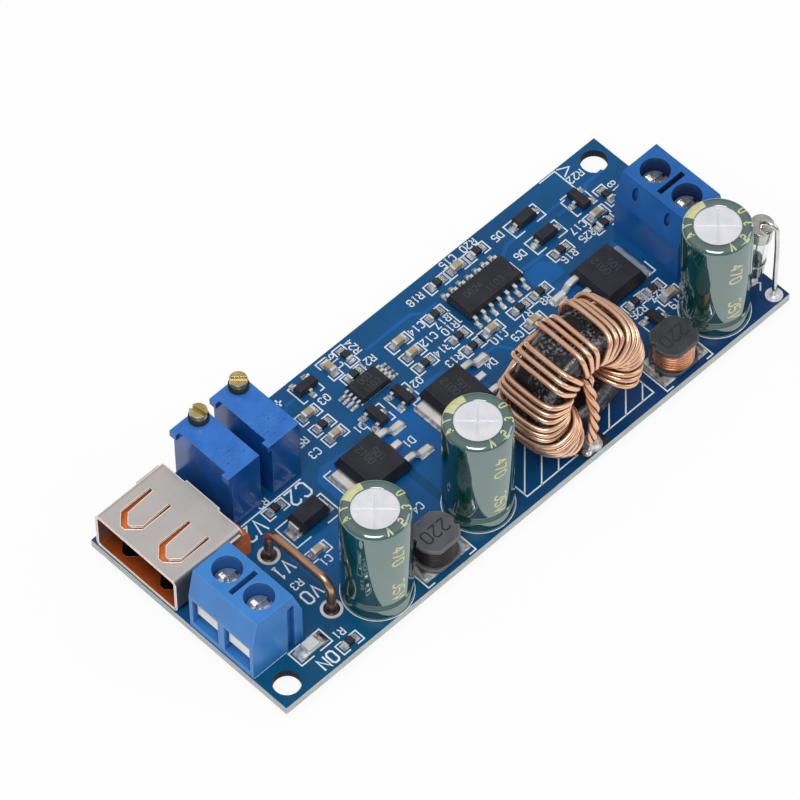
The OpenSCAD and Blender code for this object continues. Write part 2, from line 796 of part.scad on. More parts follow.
// Capacitors: can with a crimp and a scored top, inside a thin sleeve
module capacitor_can(c) {
  color(tin_colour)
    translate(c)
      difference() {
        rotate_extrude()
          polygon([
            [0, can_foot], [can_r - 0.6, can_foot], [can_r, can_foot + 0.6],
            [can_r, crimp_z - crimp_half], [can_r - crimp_depth, crimp_z], [can_r, crimp_z + crimp_half],
            [can_r, can_height - can_edge], [can_r - can_edge, can_height], [0, can_height],
          ]);
        for (a = [0, 90])
          rotate([0, 0, a + 45])
            translate([-bare_disc + 0.2, -score_width / 2, can_height - score_depth])
              cube([2 * bare_disc - 0.4, score_width, 1]);
      }
}

module capacitor_sleeve(c) {
  inner = can_r + sleeve_gap;
  outer = inner + sleeve_wall;
  lid = can_height + sleeve_gap;
  color(sleeve_colour)
    translate(c)
      rotate_extrude()
        polygon([
          [inner, 0], [outer, 0],
          [outer, crimp_z - crimp_half], [outer - crimp_depth, crimp_z], [outer, crimp_z + crimp_half],
          [outer, lid - can_edge], [outer - can_edge, lid + sleeve_wall], [bare_disc, lid + sleeve_wall],
          [bare_disc, lid], [inner - can_edge + sleeve_gap, lid], [inner, lid - can_edge],
          [inner, crimp_z + crimp_half], [inner - crimp_depth, crimp_z], [inner, crimp_z - crimp_half],
        ]);
}

module capacitor_leads() {
  color(tin_colour)
    for (p = can_lead_points)
      translate([p[0], p[1], tail_z])
        cylinder(d = can_lead, h = lead_tail + top + can_foot);
}

// Toroid core, standing on edge
module toroid_core() {
  w = core_width / 2;
  a = core_inner / 2;
  b = core_outer / 2;
  color(black_colour)
    translate([toroid_place[0], toroid_place[1], toroid_z])
      rotate([90, 0, 0])
        rotate_extrude($fn = 96)
          polygon([
            [a, -w + core_edge], [a + core_edge, -w], [b - core_edge, -w], [b, -w + core_edge],
            [b, w - core_edge], [b - core_edge, w], [a + core_edge, w], [a, w - core_edge],
          ]);
}

// Winding: each strand is one path. A point is given by its angle round the
// ring, its distance from the ring's axis and its place along that axis.
function ring_point(angle, r, y) = [r * cos(angle), y, r * sin(angle)];
function bore_r(k) = rest_inner - turn_layer[k] * layer_step;
function bore_angle(o, k) = turn_bore[k] + o * (strand + 0.05) / bore_r(k) * 180 / PI;
function outer_angle(o, k) = turn_outer[k] + o * strand_step;
function front_level(k) = rest_face + turn_layer[k] * layer_step;
function back_level(o, k) = rest_face + (k == 0 ? 0 : turn_layer[k] > 0 ? 3 : o + 1) * layer_step;
function last_level(o) = rest_face + (o < 0 ? 4 : 3) * layer_step;

// Out of the bore at the front, over the outside, and down at the back
function over_ring(o, k, level) = concat(
  [for (f = bend_angles) ring_point(bore_angle(o, k), bore_r(k) + bend_r - bend_r * cos(f),
    -front_level(k) + bend_r - bend_r * sin(f))],
  [for (f = [0.2, 0.5, 0.8])
    ring_point(bore_angle(o, k) + f * (outer_angle(o, k) - bore_angle(o, k)),
      bore_r(k) + bend_r + f * (rest_outer - bore_r(k) - 2 * bend_r),
      -front_level(k) + f * (front_level(k) - rest_face) - turn_slack[k] * sin(180 * f))],
  [for (f = bend_angles) ring_point(outer_angle(o, k), rest_outer - bend_r + bend_r * sin(f),
    -rest_face + bend_r - bend_r * cos(f))],
  [for (f = bend_angles) ring_point(outer_angle(o, k), rest_outer - bend_r + bend_r * cos(f),
    level - bend_r + bend_r * sin(f))]
);

// Into the bore from the back
function into_bore(o, k) = [for (f = bend_angles) ring_point(bore_angle(o, k),
  bore_r(k) + bend_r - bend_r * sin(f), back_level(o, k) - bend_r + bend_r * cos(f))];

// A twisted tail from a board hole up to a place behind or in the bore
function twist(a) = tail_twist * [cos(a), sin(a)];
function tail_point(o, hole, high, phase, f) =
  let (low = tail_z - toroid_z, z = low + f * (high[2] - low))
  let (w = twist(120 * o + phase + 360 * (f - 1) * (high[2] - low) / tail_pitch))
  let (lean = max(0, (z - high[2]) / (high[2] - low - lead_tail - top - 1) + 1))
  let (out = max(0, 2 * lean - 1))
  [hole[0] + lean * (high[0] - hole[0]) + w[0], hole[1] + out * (high[1] - hole[1]) - w[1], z];

front_phase = -62;
front_high = [-0.4, -core_width / 2 + 0.2, 2.2];
back_phase = 270;
back_high = [-1.6, back_tail[1] - 0.1, -rest_inner * 1.85];
function strand_path(o) = concat(
  [for (i = [0:tail_steps]) tail_point(o, back_tail, back_high, back_phase, i / tail_steps)],
  into_bore(o, 0),
  [for (k = [0:last_turn - 1]) each concat(over_ring(o, k, back_level(o, k + 1)), into_bore(o, k + 1))],
  over_ring(o, last_turn, last_level(o)),
  let (w = twist(120 * o + front_phase))
  [for (y = [last_level(o), rest_face - 0.5, 0, front_high[1] - w[1]])
    [front_high[0] + w[0], y, front_high[2] + w[1]]],
  [for (i = [tail_steps - 1:-1:0]) tail_point(o, front_tail, front_high, front_phase, i / tail_steps)]
);

function unit(v) = v / norm(v);
function flat_to(v, t) = unit(v - (v * t) * t);
function path_tangents(p) = let (n = len(p))
  [for (i = [0:n - 1]) unit(p[min(i + 1, n - 1)] - p[max(i - 1, 0)])];
function path_normals(t) = let (n = len(t))
  [for (i = 0, v = flat_to([1, 0, 0], t[0]); i < n;
    v = flat_to(v, t[min(i + 1, n - 1)]), i = i + 1) v];

function tube_points(p) =
  let (t = path_tangents(p), v = path_normals(t))
  [for (i = [0:len(p) - 1], j = [0:strand_sides - 1])
    p[i] + strand / 2 * (v[i] * cos(360 * j / strand_sides)
      + cross(t[i], v[i]) * sin(360 * j / strand_sides))];
function tube_faces(n, first) = let (m = strand_sides) concat(
  [for (i = [0:n - 2], j = [0:m - 1]) let (a = first + i * m, k = (j + 1) % m)
    [a + j, a + m + j, a + m + k, a + k]],
  [[for (j = [0:m - 1]) first + j], [for (j = [m - 1:-1:0]) first + (n - 1) * m + j]]
);

// All the strands in one polyhedron, each a closed tube of its own
module toroid_winding() {
  paths = [for (o = [-1:1]) strand_path(o)];
  n = len(paths[0]);
  color(copper_colour)
    translate([toroid_place[0], toroid_place[1], toroid_z])
      polyhedron(
        [for (p = paths) each tube_points(p)],
        [for (i = [0:strand_count - 1]) each tube_faces(n, i * n * strand_sides)]
      );
}

// Drum chokes: notched drum, coil in its waist, and two end terminals
module choke_core(c) {
  z1 = drum_flange;
  z2 = drum_height - drum_flange;
  color(grey_colour)
    translate(c + [0, 0, solder_height + drum_pad[2]])
      difference() {
        rotate_extrude()
          polygon([
            [0, 0], [drum_r, 0], [drum_r, z1], [drum_hub / 2, z1],
            [drum_hub / 2, z2], [drum_r - 0.1, z2], [drum_r - 0.1, drum_height], [0, drum_height],
          ]);
        for (s = pole_sides)
          translate([s * drum_r - drum_notch[0], -drum_notch[1] / 2, z2 - eps])
            cube([2 * drum_notch[0], drum_notch[1], drum_flange + 1]);
      }
}

module choke_winding(c) {
  z1 = drum_flange + drum_coil_gap;
  z2 = drum_height - drum_flange - drum_coil_gap;
  color(copper_colour)
    translate(c + [0, 0, solder_height + drum_pad[2]])
      rotate_extrude()
        polygon([
          [drum_hub / 2 + drum_coil_gap, z1], [drum_coil / 2 - 0.1, z1], [drum_coil / 2, z1 + 0.2],
          [drum_coil / 2, z2 - 0.2], [drum_coil / 2 - 0.1, z2], [drum_hub / 2 + drum_coil_gap, z2],
        ]);
}

module choke_terminals() {
  color(tin_colour)
    for (c = [output_choke, input_choke], s = pole_sides)
      translate(c + [s * (drum_r + drum_pad_out - drum_pad[0] / 2) - drum_pad[0] / 2,
          -drum_pad[1] / 2, solder_height])
        cube(drum_pad);
}

// Shunt: one wire bent into a low bridge along Y
module shunt_wire() {
  leg = lead_tail + top + shunt_rise - shunt_bend;
  run = shunt_span - 2 * shunt_bend;
  color(copper_colour)
    translate([shunt_place[0], shunt_place[1], tail_z]) {
      for (s = pole_sides)
        translate([0, s * shunt_span / 2, 0])
          cylinder(d = shunt_wire_d, h = leg);
      for (s = pole_sides)
        translate([0, s * run / 2, leg])
          rotate([0, 0, 90 * s])
            rotate([90, 0, 0])
              rotate_extrude(angle = 90)
                translate([shunt_bend, 0])
                  circle(d = shunt_wire_d);
      translate([0, -run / 2, leg + shunt_bend])
        rotate([-90, 0, 0])
          cylinder(d = shunt_wire_d, h = run);
    }
}

// Fuse: stands on its lower lead and leans to the front edge
module lean_fuse() {
  translate(fuse_place)
    rotate([fuse_lean, 0, 0])
      children();
}

module fuse_tube() {
  color(glass_colour)
    lean_fuse()
      translate([0, 0, fuse_stand + 0.4])
        difference() {
          cylinder(d = fuse_tube_d, h = fuse_length - 0.8);
          translate([0, 0, -1])
            cylinder(d = fuse_bore, h = fuse_length + 2);
        }
}

module fuse_caps() {
  color(tin_colour)
    lean_fuse()
      for (z = [fuse_stand, fuse_stand + fuse_length - fuse_cap_length])
        translate([0, 0, z])
          difference() {
            cylinder(d = fuse_cap, h = fuse_cap_length);
            translate([0, 0, z == fuse_stand ? 0.4 : -1])
              cylinder(d = fuse_tube_d + 0.04, h = z == fuse_stand ? fuse_cap_length : fuse_cap_length + 0.6);
          }
}

module fuse_element() {
  color(tin_colour)
    lean_fuse()
      translate([0, 0, fuse_stand + 0.4])
        cylinder(d = fuse_wire, h = fuse_length - 0.8);
}

module fuse_leads() {
  r = fuse_lead / 2;
  crown = [0, -fuse_high * sin(fuse_lean), fuse_high * cos(fuse_lean)];
  over = crown[2] + fuse_over;
  color(tin_colour)
    translate(fuse_place) {
      translate([0, 0, tail_z - top])
        cylinder(d = fuse_lead, h = lead_tail + top + 0.6);
      translate([0, 0, 0.6])
        sphere(d = fuse_joint);
      intersection() {
        translate([0, 0, 0.6])
          lean_line([0, -(fuse_stand) * sin(fuse_lean), fuse_stand * cos(fuse_lean) - 0.6]);
        rotate([fuse_lean, 0, 0])
          translate([-2, -2, -2])
            cube([4, 4, fuse_stand + 2]);
      }
      rotate([fuse_lean, 0, 0])
        translate([0, 0, fuse_high])
          cylinder(d = fuse_lead, h = fuse_over);
      translate(crown + [0, -fuse_over * sin(fuse_lean), fuse_over * cos(fuse_lean)]) {
        sphere(d = fuse_joint);
        lean_line([fuse_return[0], fuse_return[1] - crown[1] + fuse_over * sin(fuse_lean), 0]);
      }
      translate([fuse_return[0], fuse_return[1], crown[2] + fuse_over * cos(fuse_lean)]) {
        sphere(d = fuse_joint);
        mirror([0, 0, 1])
          cylinder(d = fuse_lead, h = crown[2] + fuse_over * cos(fuse_lean) + top + lead_tail);
      }
    }
}

// A round wire from the origin to a point
module lean_line(v) {
  rotate([0, acos(v[2] / norm(v)), atan2(v[1], v[0])])
    cylinder(d = fuse_lead, h = norm(v));
}

// Power packages: tab toward -X, leads toward +X before turning
module place_power(p) {
  translate([p[0], p[1], part_z])
    rotate([0, 0, p[2]])
      children();
}

module power_tab() {
  translate([-power_width / 2 - tab_out, -tab_width / 2, 0])
    cube([power_width - 0.6 + tab_out, tab_width, power_sheet]);
}

module power_body(p) {
  color(grey_colour)
    place_power(p)
      difference() {
        moulded(power_width, power_length, power_height, 0.5, 1);
        power_tab();
        translate([-power_width / 2 + 1.3, -power_length / 2 + 1.3, power_height - 0.1])
          cylinder(d = 0.8, h = 1, $fn = 24);
      }
}

module power_frame(p) {
  color(tin_colour)
    place_power(p) {
      power_tab();
      translate([power_width / 2, 0, 0]) {
        for (s = pole_sides)
          translate([0, s * power_lead_pitch / 2, 0])
            gull_lead(power_lead_z, power_lead_reach, power_foot, power_lead, power_sheet);
        translate([0, -power_lead / 2, power_lead_z])
          cube([power_stub, power_lead, power_sheet]);
      }
    }
}

module place_part(p) {
  translate([p[0], p[1], part_z])
    rotate([0, 0, len(p) > 2 ? p[2] : 0])
      children();
}

// Comparator: leads along its two long sides
module comparator_body() {
  s = comparator_body_size;
  color(black_colour)
    place_part(comparator)
      difference() {
        translate([0, 0, 0.15])
          moulded(s[0], s[1], s[2], 0.25, 0.7);
        translate([-s[0] / 2 + 0.9, -s[1] / 2 + 0.9, s[2] + 0.05])
          cylinder(d = 0.8, h = 1, $fn = 24);
      }
}

module comparator_leads() {
  color(tin_colour)
    place_part(comparator)
      for (s = pole_sides, i = [-3:3])
        translate([i * comparator_pitch, s * comparator_body_size[1] / 2, 0])
          rotate([0, 0, s * 90])
            gull_lead(0.75, 1.05, 0.6, 0.42, 0.2);
}

// Controller: leads along its two short sides
module controller_body() {
  s = controller_body_size;
  color(black_colour)
    place_part(controller)
      difference() {
        translate([0, 0, 0.1])
          moulded(s[0], s[1], s[2], 0.2, 0.45);
        translate([-s[0] / 2 + 0.7, s[1] / 2 - 0.7, s[2] + 0.02])
          cylinder(d = 0.6, h = 1, $fn = 24);
      }
}

module controller_leads() {
  color(tin_colour)
    place_part(controller)
      for (s = pole_sides, i = [-1.5:1.5])
        translate([s * controller_body_size[0] / 2, i * controller_pitch, 0])
          rotate([0, 0, 90 - s * 90])
            gull_lead(0.48, 1, 0.55, 0.28, 0.14);
}

module clamp_diode_body() {
  s = clamp_diode_size;
  color(black_colour)
    place_part(clamp_diode)
      difference() {
        translate([0, 0, 0.2])
          moulded(s[0], s[1], s[2], 0.35, 1);
        clamp_feet();
      }
}

module clamp_feet() {
  s = clamp_diode_size;
  for (d = pole_sides)
    translate([d * (s[0] / 2 - 0.4) - 0.7, -clamp_end[1] / 2, 0])
      cube([1.4, clamp_end[1], clamp_end[0]]);
}

module clamp_diode_ends() {
  s = clamp_diode_size;
  color(tin_colour)
    place_part(clamp_diode) {
      clamp_feet();
      for (d = pole_sides)
        translate([d * (s[0] / 2 + clamp_end[0] / 2) - clamp_end[0] / 2, -clamp_end[1] / 2, 0])
          cube([clamp_end[0], clamp_end[1], 1.35]);
    }
}

// Small three-lead packages: two leads toward -X, one toward +X before turning
module transistor_bodies() {
  s = transistor_size;
  color(black_colour)
    for (p = transistors)
      place_part(p)
        translate([0, 0, 0.08])
          moulded(s[0], s[1], s[2], 0.15, 0.5);
}

module transistor_leads() {
  color(tin_colour)
    for (p = transistors)
      place_part(p) {
        translate([transistor_size[0] / 2, 0, 0])
          gull_lead(0.5, 0.6, 0.35, 0.42, 0.14);
        for (s = pole_sides)
          translate([-transistor_size[0] / 2, s * transistor_pitch / 2, 0])
            rotate([0, 0, 180])
              gull_lead(0.5, 0.6, 0.35, 0.42, 0.14);
      }
}

module signal_diode_bodies() {
  color(black_colour)
    for (p = diodes)
      place_part(p)
        translate([0, 0, 0.08])
          moulded(diode_size[0], diode_size[1], diode_size[2], 0.2, 0.5);
}

module signal_diode_leads() {
  color(tin_colour)
    for (p = diodes, s = pole_sides)
      place_part(p)
        translate([s * diode_size[0] / 2, 0, 0])
          rotate([0, 0, 90 - s * 90])
            gull_lead(0.5, 0.55, 0.35, 0.6, 0.14);
}

module indicator_lamp() {
  s = lamp_size;
  color(pale_colour)
    place_part(lamp) {
      translate([-s[0] / 2, -s[1] / 2, 0])
        cube([s[0], s[1], s[2] * 0.45]);
      translate([-s[0] / 2 + 0.5, -s[1] / 2 + 0.1, s[2] * 0.45 - eps])
        cube([s[0] - 1, s[1] - 0.2, s[2] * 0.55]);
    }
}

// A chip's middle, and the two ends that close it
module chip_middle(h) {
  translate([-chip_length / 2 + chip_end, -chip_width / 2, 0])
    cube([chip_length - 2 * chip_end, chip_width, h]);
}

module chip_caps(h) {
  for (x = [-chip_length / 2, chip_length / 2 - chip_end])
    translate([x, -chip_width / 2, 0])
      cube([chip_end, chip_width, h]);
}

module chip_resistors() {
  color(black_colour)
    for (p = resistors)
      place_part(p)
        chip_middle(resistor_height);
}

module chip_capacitors() {
  color(tan_colour)
    for (p = capacitors)
      place_part(p)
        chip_middle(capacitor_height);
}

module chip_ends() {
  color(tin_colour) {
    for (p = resistors)
      place_part(p)
        chip_caps(resistor_height);
    for (p = capacitors)
      place_part(p)
        chip_caps(capacitor_height);
  }
}

// Solder: a flat pad under every surface-mounted foot
module pad(x, y, w, d) {
  translate([x - w / 2, y - d / 2, -solder_height])
    cube([w, d, solder_height]);
}

module solder_pads() {
  color(tin_colour) {
    for (p = concat(resistors, capacitors), s = pole_sides)
      place_part(p)
        pad(s * (chip_length / 2 + 0.05), 0, chip_end + 0.5, chip_width + 0.1);
    for (p = [output_rectifier, link_rectifier, main_switch])
      place_power(p) {
        pad(-power_width / 2 - tab_out / 2 + 2.4, 0, tab_out + 5.4, tab_width + 0.4);
        for (s = pole_sides)
          pad(power_width / 2 + power_lead_reach - power_foot / 2, s * power_lead_pitch / 2,
            power_foot + 0.5, power_lead + 0.5);
      }
    for (c = [output_choke, input_choke], s = pole_sides)
      translate(c + [0, 0, solder_height])
        pad(s * (choke_reach - choke_pad / 2), 0, choke_pad, drum_pad[1] + 0.3);
    place_part(comparator)
      for (s = pole_sides, i = [-3:3])
        pad(i * comparator_pitch, s * (comparator_body_size[1] / 2 + 0.85), 0.55, 1.1);
    place_part(controller)
      for (s = pole_sides, i = [-1.5:1.5])
        pad(s * (controller_body_size[0] / 2 + 0.9), i * controller_pitch, 1.2, 0.36);
    place_part(clamp_diode)
      for (s = pole_sides)
        pad(s * clamp_diode_size[0] / 2, 0, 2, clamp_end[1] + 0.3);
    for (p = transistors)
      place_part(p) {
        pad(transistor_size[0] / 2 + 0.45, 0, 0.8, 0.7);
        for (s = pole_sides)
          pad(-transistor_size[0] / 2 - 0.45, s * transistor_pitch / 2, 0.8, 0.7);
      }
    for (p = diodes, s = pole_sides)
      place_part(p)
        pad(s * (diode_size[0] / 2 + 0.4), 0, 0.9, 0.8);
    for (s = pole_sides)
      place_part(lamp)
        pad(s * lamp_size[0] / 2, 0, 1, lamp_size[1]);
  }
}

// Solder: a cone round every lead under the board
module solder_fillets() {
  color(tin_colour)
    for (p = leads)
      translate([p[0], p[1], -lead_tail * 0.6])
        difference() {
          cylinder(d1 = p[2] + 0.2, d2 = p[2] + 2 * fillet_width, h = lead_tail * 0.6);
          translate([0, 0, -1])
            cylinder(d = p[2] + 0.04, h = lead_tail + 2);
        }
}

circuit_board();
usb_shell();
usb_insulator();
usb_contacts();
terminal_housing(output_terminal);  // output_terminal_housing
terminal_screw(output_terminal, -1);  // output_terminal_screw_1
terminal_screw(output_terminal, 1);  // output_terminal_screw_2
terminal_cages(output_terminal);  // output_terminal_cages
terminal_housing(input_terminal);  // input_terminal_housing
terminal_screw(input_terminal, -1);  // input_terminal_screw_1
terminal_screw(input_terminal, 1);  // input_terminal_screw_2
terminal_cages(input_terminal);  // input_terminal_cages
trimmer_case(voltage_trimmer);  // voltage_trimmer_case
trimmer_screw(voltage_trimmer, 100);  // voltage_trimmer_screw
trimmer_case(current_trimmer);  // current_trimmer_case
trimmer_screw(current_trimmer, -45);  // current_trimmer_screw
trimmer_seals();
trimmer_pins();
capacitor_can(output_can);  // output_capacitor_can
capacitor_sleeve(output_can);  // output_capacitor_sleeve
capacitor_can(link_can);  // link_capacitor_can
capacitor_sleeve(link_can);  // link_capacitor_sleeve
capacitor_can(input_can);  // input_capacitor_can
capacitor_sleeve(input_can);  // input_capacitor_sleeve
capacitor_leads();
toroid_core();
toroid_winding();
choke_core(output_choke);  // output_choke_core
choke_winding(output_choke);  // output_choke_winding
choke_core(input_choke);  // input_choke_core
choke_winding(input_choke);  // input_choke_winding
choke_terminals();
shunt_wire();
fuse_tube();
fuse_caps();
fuse_element();
fuse_leads();
power_body(output_rectifier);  // output_rectifier_body
power_frame(output_rectifier);  // output_rectifier_frame
power_body(link_rectifier);  // link_rectifier_body
power_frame(link_rectifier);  // link_rectifier_frame
power_body(main_switch);  // main_switch_body
power_frame(main_switch);  // main_switch_frame
comparator_body();
comparator_leads();
controller_body();
controller_leads();
clamp_diode_body();
clamp_diode_ends();
transistor_bodies();
transistor_leads();
signal_diode_bodies();
signal_diode_leads();
indicator_lamp();
chip_resistors();
chip_capacitors();
chip_ends();
solder_pads();
solder_fillets();
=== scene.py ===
from math import ceil, copysign, cos, degrees, hypot, pi, radians, sin, sqrt

import bmesh
import bpy
from mathutils import Matrix, Vector
from mathutils.geometry import interpolate_bezier

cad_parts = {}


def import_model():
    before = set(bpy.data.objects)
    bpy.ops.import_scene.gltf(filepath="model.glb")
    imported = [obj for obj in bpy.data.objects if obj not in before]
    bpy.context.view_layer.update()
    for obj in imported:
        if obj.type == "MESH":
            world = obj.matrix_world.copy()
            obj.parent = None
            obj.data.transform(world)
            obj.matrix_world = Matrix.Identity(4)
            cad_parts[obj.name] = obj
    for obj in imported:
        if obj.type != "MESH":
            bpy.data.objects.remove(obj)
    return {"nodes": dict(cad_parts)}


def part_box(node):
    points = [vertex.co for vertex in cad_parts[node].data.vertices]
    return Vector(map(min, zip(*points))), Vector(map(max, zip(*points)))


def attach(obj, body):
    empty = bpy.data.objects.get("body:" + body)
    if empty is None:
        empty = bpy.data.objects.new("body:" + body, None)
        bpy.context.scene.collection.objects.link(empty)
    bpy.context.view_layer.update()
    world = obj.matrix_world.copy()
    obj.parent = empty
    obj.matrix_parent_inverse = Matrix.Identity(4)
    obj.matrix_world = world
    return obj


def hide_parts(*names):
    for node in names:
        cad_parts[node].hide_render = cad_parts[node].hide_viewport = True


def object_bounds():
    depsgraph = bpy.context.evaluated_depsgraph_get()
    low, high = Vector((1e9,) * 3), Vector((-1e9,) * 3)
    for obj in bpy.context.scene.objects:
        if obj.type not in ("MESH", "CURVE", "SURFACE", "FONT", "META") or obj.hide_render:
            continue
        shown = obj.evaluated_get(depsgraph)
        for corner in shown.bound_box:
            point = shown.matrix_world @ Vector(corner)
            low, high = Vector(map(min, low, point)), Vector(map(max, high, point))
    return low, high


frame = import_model()
cad_low, cad_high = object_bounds()
nodes = frame["nodes"]

# Sizes are in millimetres; a piece becomes metres when it is made.
MM = 0.001
ROOT = "module"

# Camera, worked out for an 800 x 800 picture; its near and far limits are in metres
IMAGE = 800
SENSOR = 36.0
FOCAL_PX = 7133.24
CAMERA_AZIMUTH = -43.3566
CAMERA_ELEVATION = 54.9380
CAMERA_ROLL = -1.2155
CAMERA_DISTANCE = 811.436
CAMERA_TARGET = (-1.4932, 5.6856, 0.0)
CAMERA_NEAR = 0.05
CAMERA_FAR = 20.0

# Light; places and sizes in metres
WORLD_LOW = 0.25
WORLD_HIGH = 0.66
FLOOR_REACH = 6.0
FLOOR_GREY = 0.9
FLOOR_GLOW = 0.9
KEY_AT = (-0.35, -0.25, 0.9)
KEY_SIZE = 0.5
KEY_POWER = 5.0
FILL_AT = (0.7, -0.5, 0.5)
FILL_SIZE = 0.6
FILL_POWER = 1.5

# Finishes: bump, softened edges, gloss of the board's mask, and how closed a recess is where shade is painted
# into it
BUMP_DEEP = 0.05
BEVEL_SAMPLES = 4
MASK_GLOSS = 0.25
RECESS_OPEN = 0.7
RECESS_CLOSED = 0.35

# White ink on the board
INK_THICK = 0.02
INK_LINE = 0.17
LETTER_LINE = 0.15
LARGE_LINE = 0.24
LABEL_HIGH = 0.95
LETTER_SLIM = 0.85
LETTER_ADVANCE = 4.9
UPSIDE = 180
INK_RING = 4.22
RING_LINE = 0.1
TOROID_FRAME = (38.8, 1.3, 59.1, 12.5)
HATCH_PITCH = 2.7
HATCH_LEAST = 0.3

# Copper under the board's blue mask
POUR_THICK = 0.012
TRACE_WIDE = 0.45

# Solder
PAD_THICK = 0.03
TOROID_PAD = ((46.9, 0.15), (50.9, 0.15), (50.9, 2.0), (46.9, 2.0))
DROP_AT = (47.85, 0.78)
DROP_R = 0.6
DROP_HIGH = 0.4
DROP_STEPS = 6
SHUNT_R = 0.55
SHUNT_PAD = (0.7, 1.32)
SHUNT_CONE = (0.98, 0.8)
FUSE_PAD = (0.4, 1.05)
FUSE_CONE = (0.62, 0.5)
TAIL_CONE = (0.85, 1.25, 0.9)
CHOKE_FOOT = 0.9
CHIP_CLIMB = 0.85
CHIP_REACH = 0.32
FOOT_HIGHEST = 0.5

# Toroid winding: the same route as the solid one
STRAND = 0.64
STRAND_STEP = 7.0
TURN_OUTER = (225, 205, 184, 161, 129, 95, 61, 41, 11, -17)
TURN_BORE = (224, 208, 190, 160, 129, 95, 64, 38, 14, -14)
TURN_LAYER = (0, 1, 0, 0, 0, 0, 0, 0, 0, 0)
TURN_DEEP = (0.0, 0.0, 0.3, 0.0, 0.0, 0.0, 0.0, 0.9, 0.0, 0.9)
TURN_SLACK = (1.6, 0.9, 0.7, 0.5, 0.3, 0.1, 0.3, 0.9, 1.0, 1.3)
TURN_LIFT = (1.75, 1.35, 0.9, 0.3, 0.1, 0.0, 0.4, 1.1, 0.6, 0.4)
TURN_SQUARE = (2.2, 2.5, 2.8, 3.4, 4.0, 4.6, 3.4, 2.6, 2.4, 2.2)
BACK_LIFT = 0.75
ARCH_STEPS = 20
LAYER_STEP = STRAND + 0.06
BORE_STEP = STRAND + 0.05
BACK_STEP = 0.28
WIRE_GAP = 0.08
CORE_BORE = 3.9
CORE_EDGE = 1.1
CORE_STEPS = 6
BEND_R = 1.35
BEND_ANGLES = (0, 30, 60, 90)
TAIL_TWIST = 0.6 * STRAND
TAIL_PITCH = 5.5
TAIL_STEPS = 18
TAIL_LENGTH = 1.4
FRONT_TAIL = (-1.1, -4.55)
BACK_TAIL = (-1.3, 5.9)
FRONT_PHASE = -62
BACK_PHASE = 270

# Capacitor sleeves
SLEEVE_WALL = 0.1
SLEEVE_ROUND = 0.7
ROUND_STEPS = 8
BARE_DISC = 2.75
LIP_WIDE = 0.06
LIP_DEEP = 0.05
CRIMP_AT = 2.2
CRIMP_HALF = 0.6
CRIMP_DEEP = 0.4
CRIMP_STEPS = 12
PRINT_THICK = 0.015
SHOULDER_AT = 0.72
SHOULDER_HIGH = 1.0
SHOULDER_LINE = 0.2
SHOULDER_CUT = 0.15
SIDE_AT = (0.72, 0.3)
SIDE_HIGH = 1.5
SIDE_LINE = 0.24
SIDE_CUT = 0.2
STRIPE_TOP = 0.1
STRIPE_BEND = 2.2
STRIPE_FOOT = 3.4
STRIPE_AT = 95
STRIPE_WIDE = 46
STRIPE_COLUMNS = 10
SLEEVE_WORDS = ("470", "35V")
RING_ANGLES = (160, 135, -8, -42, -75, -108)
CAPACITORS = (("output", -97), ("link", -97), ("input", -104))

# USB socket: how far the painted light on its floor reaches in from the mouth, its side lugs, rims and foot
FLOOR_LIGHT_REACH = 5.0
SHELL_LUG = 0.6
LUG_LEFT = 0.15
RIM_WIRE = 0.06
RIM_DEEP = 1.1
RIM_SHARP = 1.0
ROOT_FROM = 4.0
ROOT_TO = 0.5
FOOT_SHOWN = 1.4
FOOT_BEHIND = 0.1

# Power packages
POWER_PARTS = ("output_rectifier", "link_rectifier", "main_switch")
TAB_EDGE = 0.07
LEAD_THICK = 0.5
LEAD_LONGEST = 5.0
LEAD_SHORTEST = 2.0

# Chokes
CHOKE_FLANGE = 0.6
CHOKE_FLAT = 2.45
CHOKE_NOTCH = 0.4
NOTCH_HALF = 9
CHOKE_TURN = 14
CHOKE_COIL = 2.5
CHOKE_TURNS = 7

# Fuse, with a height that only its upper lead passes, and lamp
FUSE_LEAN = radians(7.6)
FUSE_HIGH = 12.2
FUSE_WIRE = 0.3
FUSE_MIDDLE = 10
LAMP_END = 0.6

# Printed marks on the parts
CODE_THICK = 0.008
CHIP_CODE_HIGH = 0.62
CHIP_CODE_LINE = 0.08
CHOKE_CODE_HIGH = 1.6
CHOKE_CODE_LINE = 0.2
LID_U = 1.2
LID_V = -2.3
LID_STEP = 1.25
LID_HIGH = 1.0
LID_LINE = 0.14
LID_THICK = 0.015

# Strokes of each letter on a grid 4 wide and 6 high; a stroke that ends where it began is closed.
ROUND = "05 16 36 45 41 30 10 01 05"
GLYPHS = {
    "0": (ROUND,),
    "1": ("15 26 20", "10 30"),
    "2": ("05 16 36 45 44 00 40",),
    "3": ("05 16 36 45 44 33 42 41 30 10 01",),
    "4": ("30 36 02 42",),
    "5": ("46 06 03 33 42 41 30 10 01",),
    "6": ("45 36 16 05 01 10 30 41 42 33 03",),
    "7": ("06 46 10",),
    "8": ("13 04 05 16 36 45 44 33 13 02 01 10 30 41 42 33",),
    "9": ("01 10 30 41 45 36 16 05 04 13 43",),
    "C": ("45 36 16 05 01 10 30 41",),
    "D": ("00 06 26 45 41 20 00",),
    "N": ("00 06 40 46",),
    "O": (ROUND,),
    "Q": (ROUND, "22 40"),
    "R": ("00 06 36 45 44 33 03", "23 40"),
    "V": ("06 20 46",),
    "+": ("21 25", "03 43"),
}


def mm_box(name):
    """A CAD node's lowest and highest corners in millimetres."""
    low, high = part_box(name)
    return low / MM, high / MM


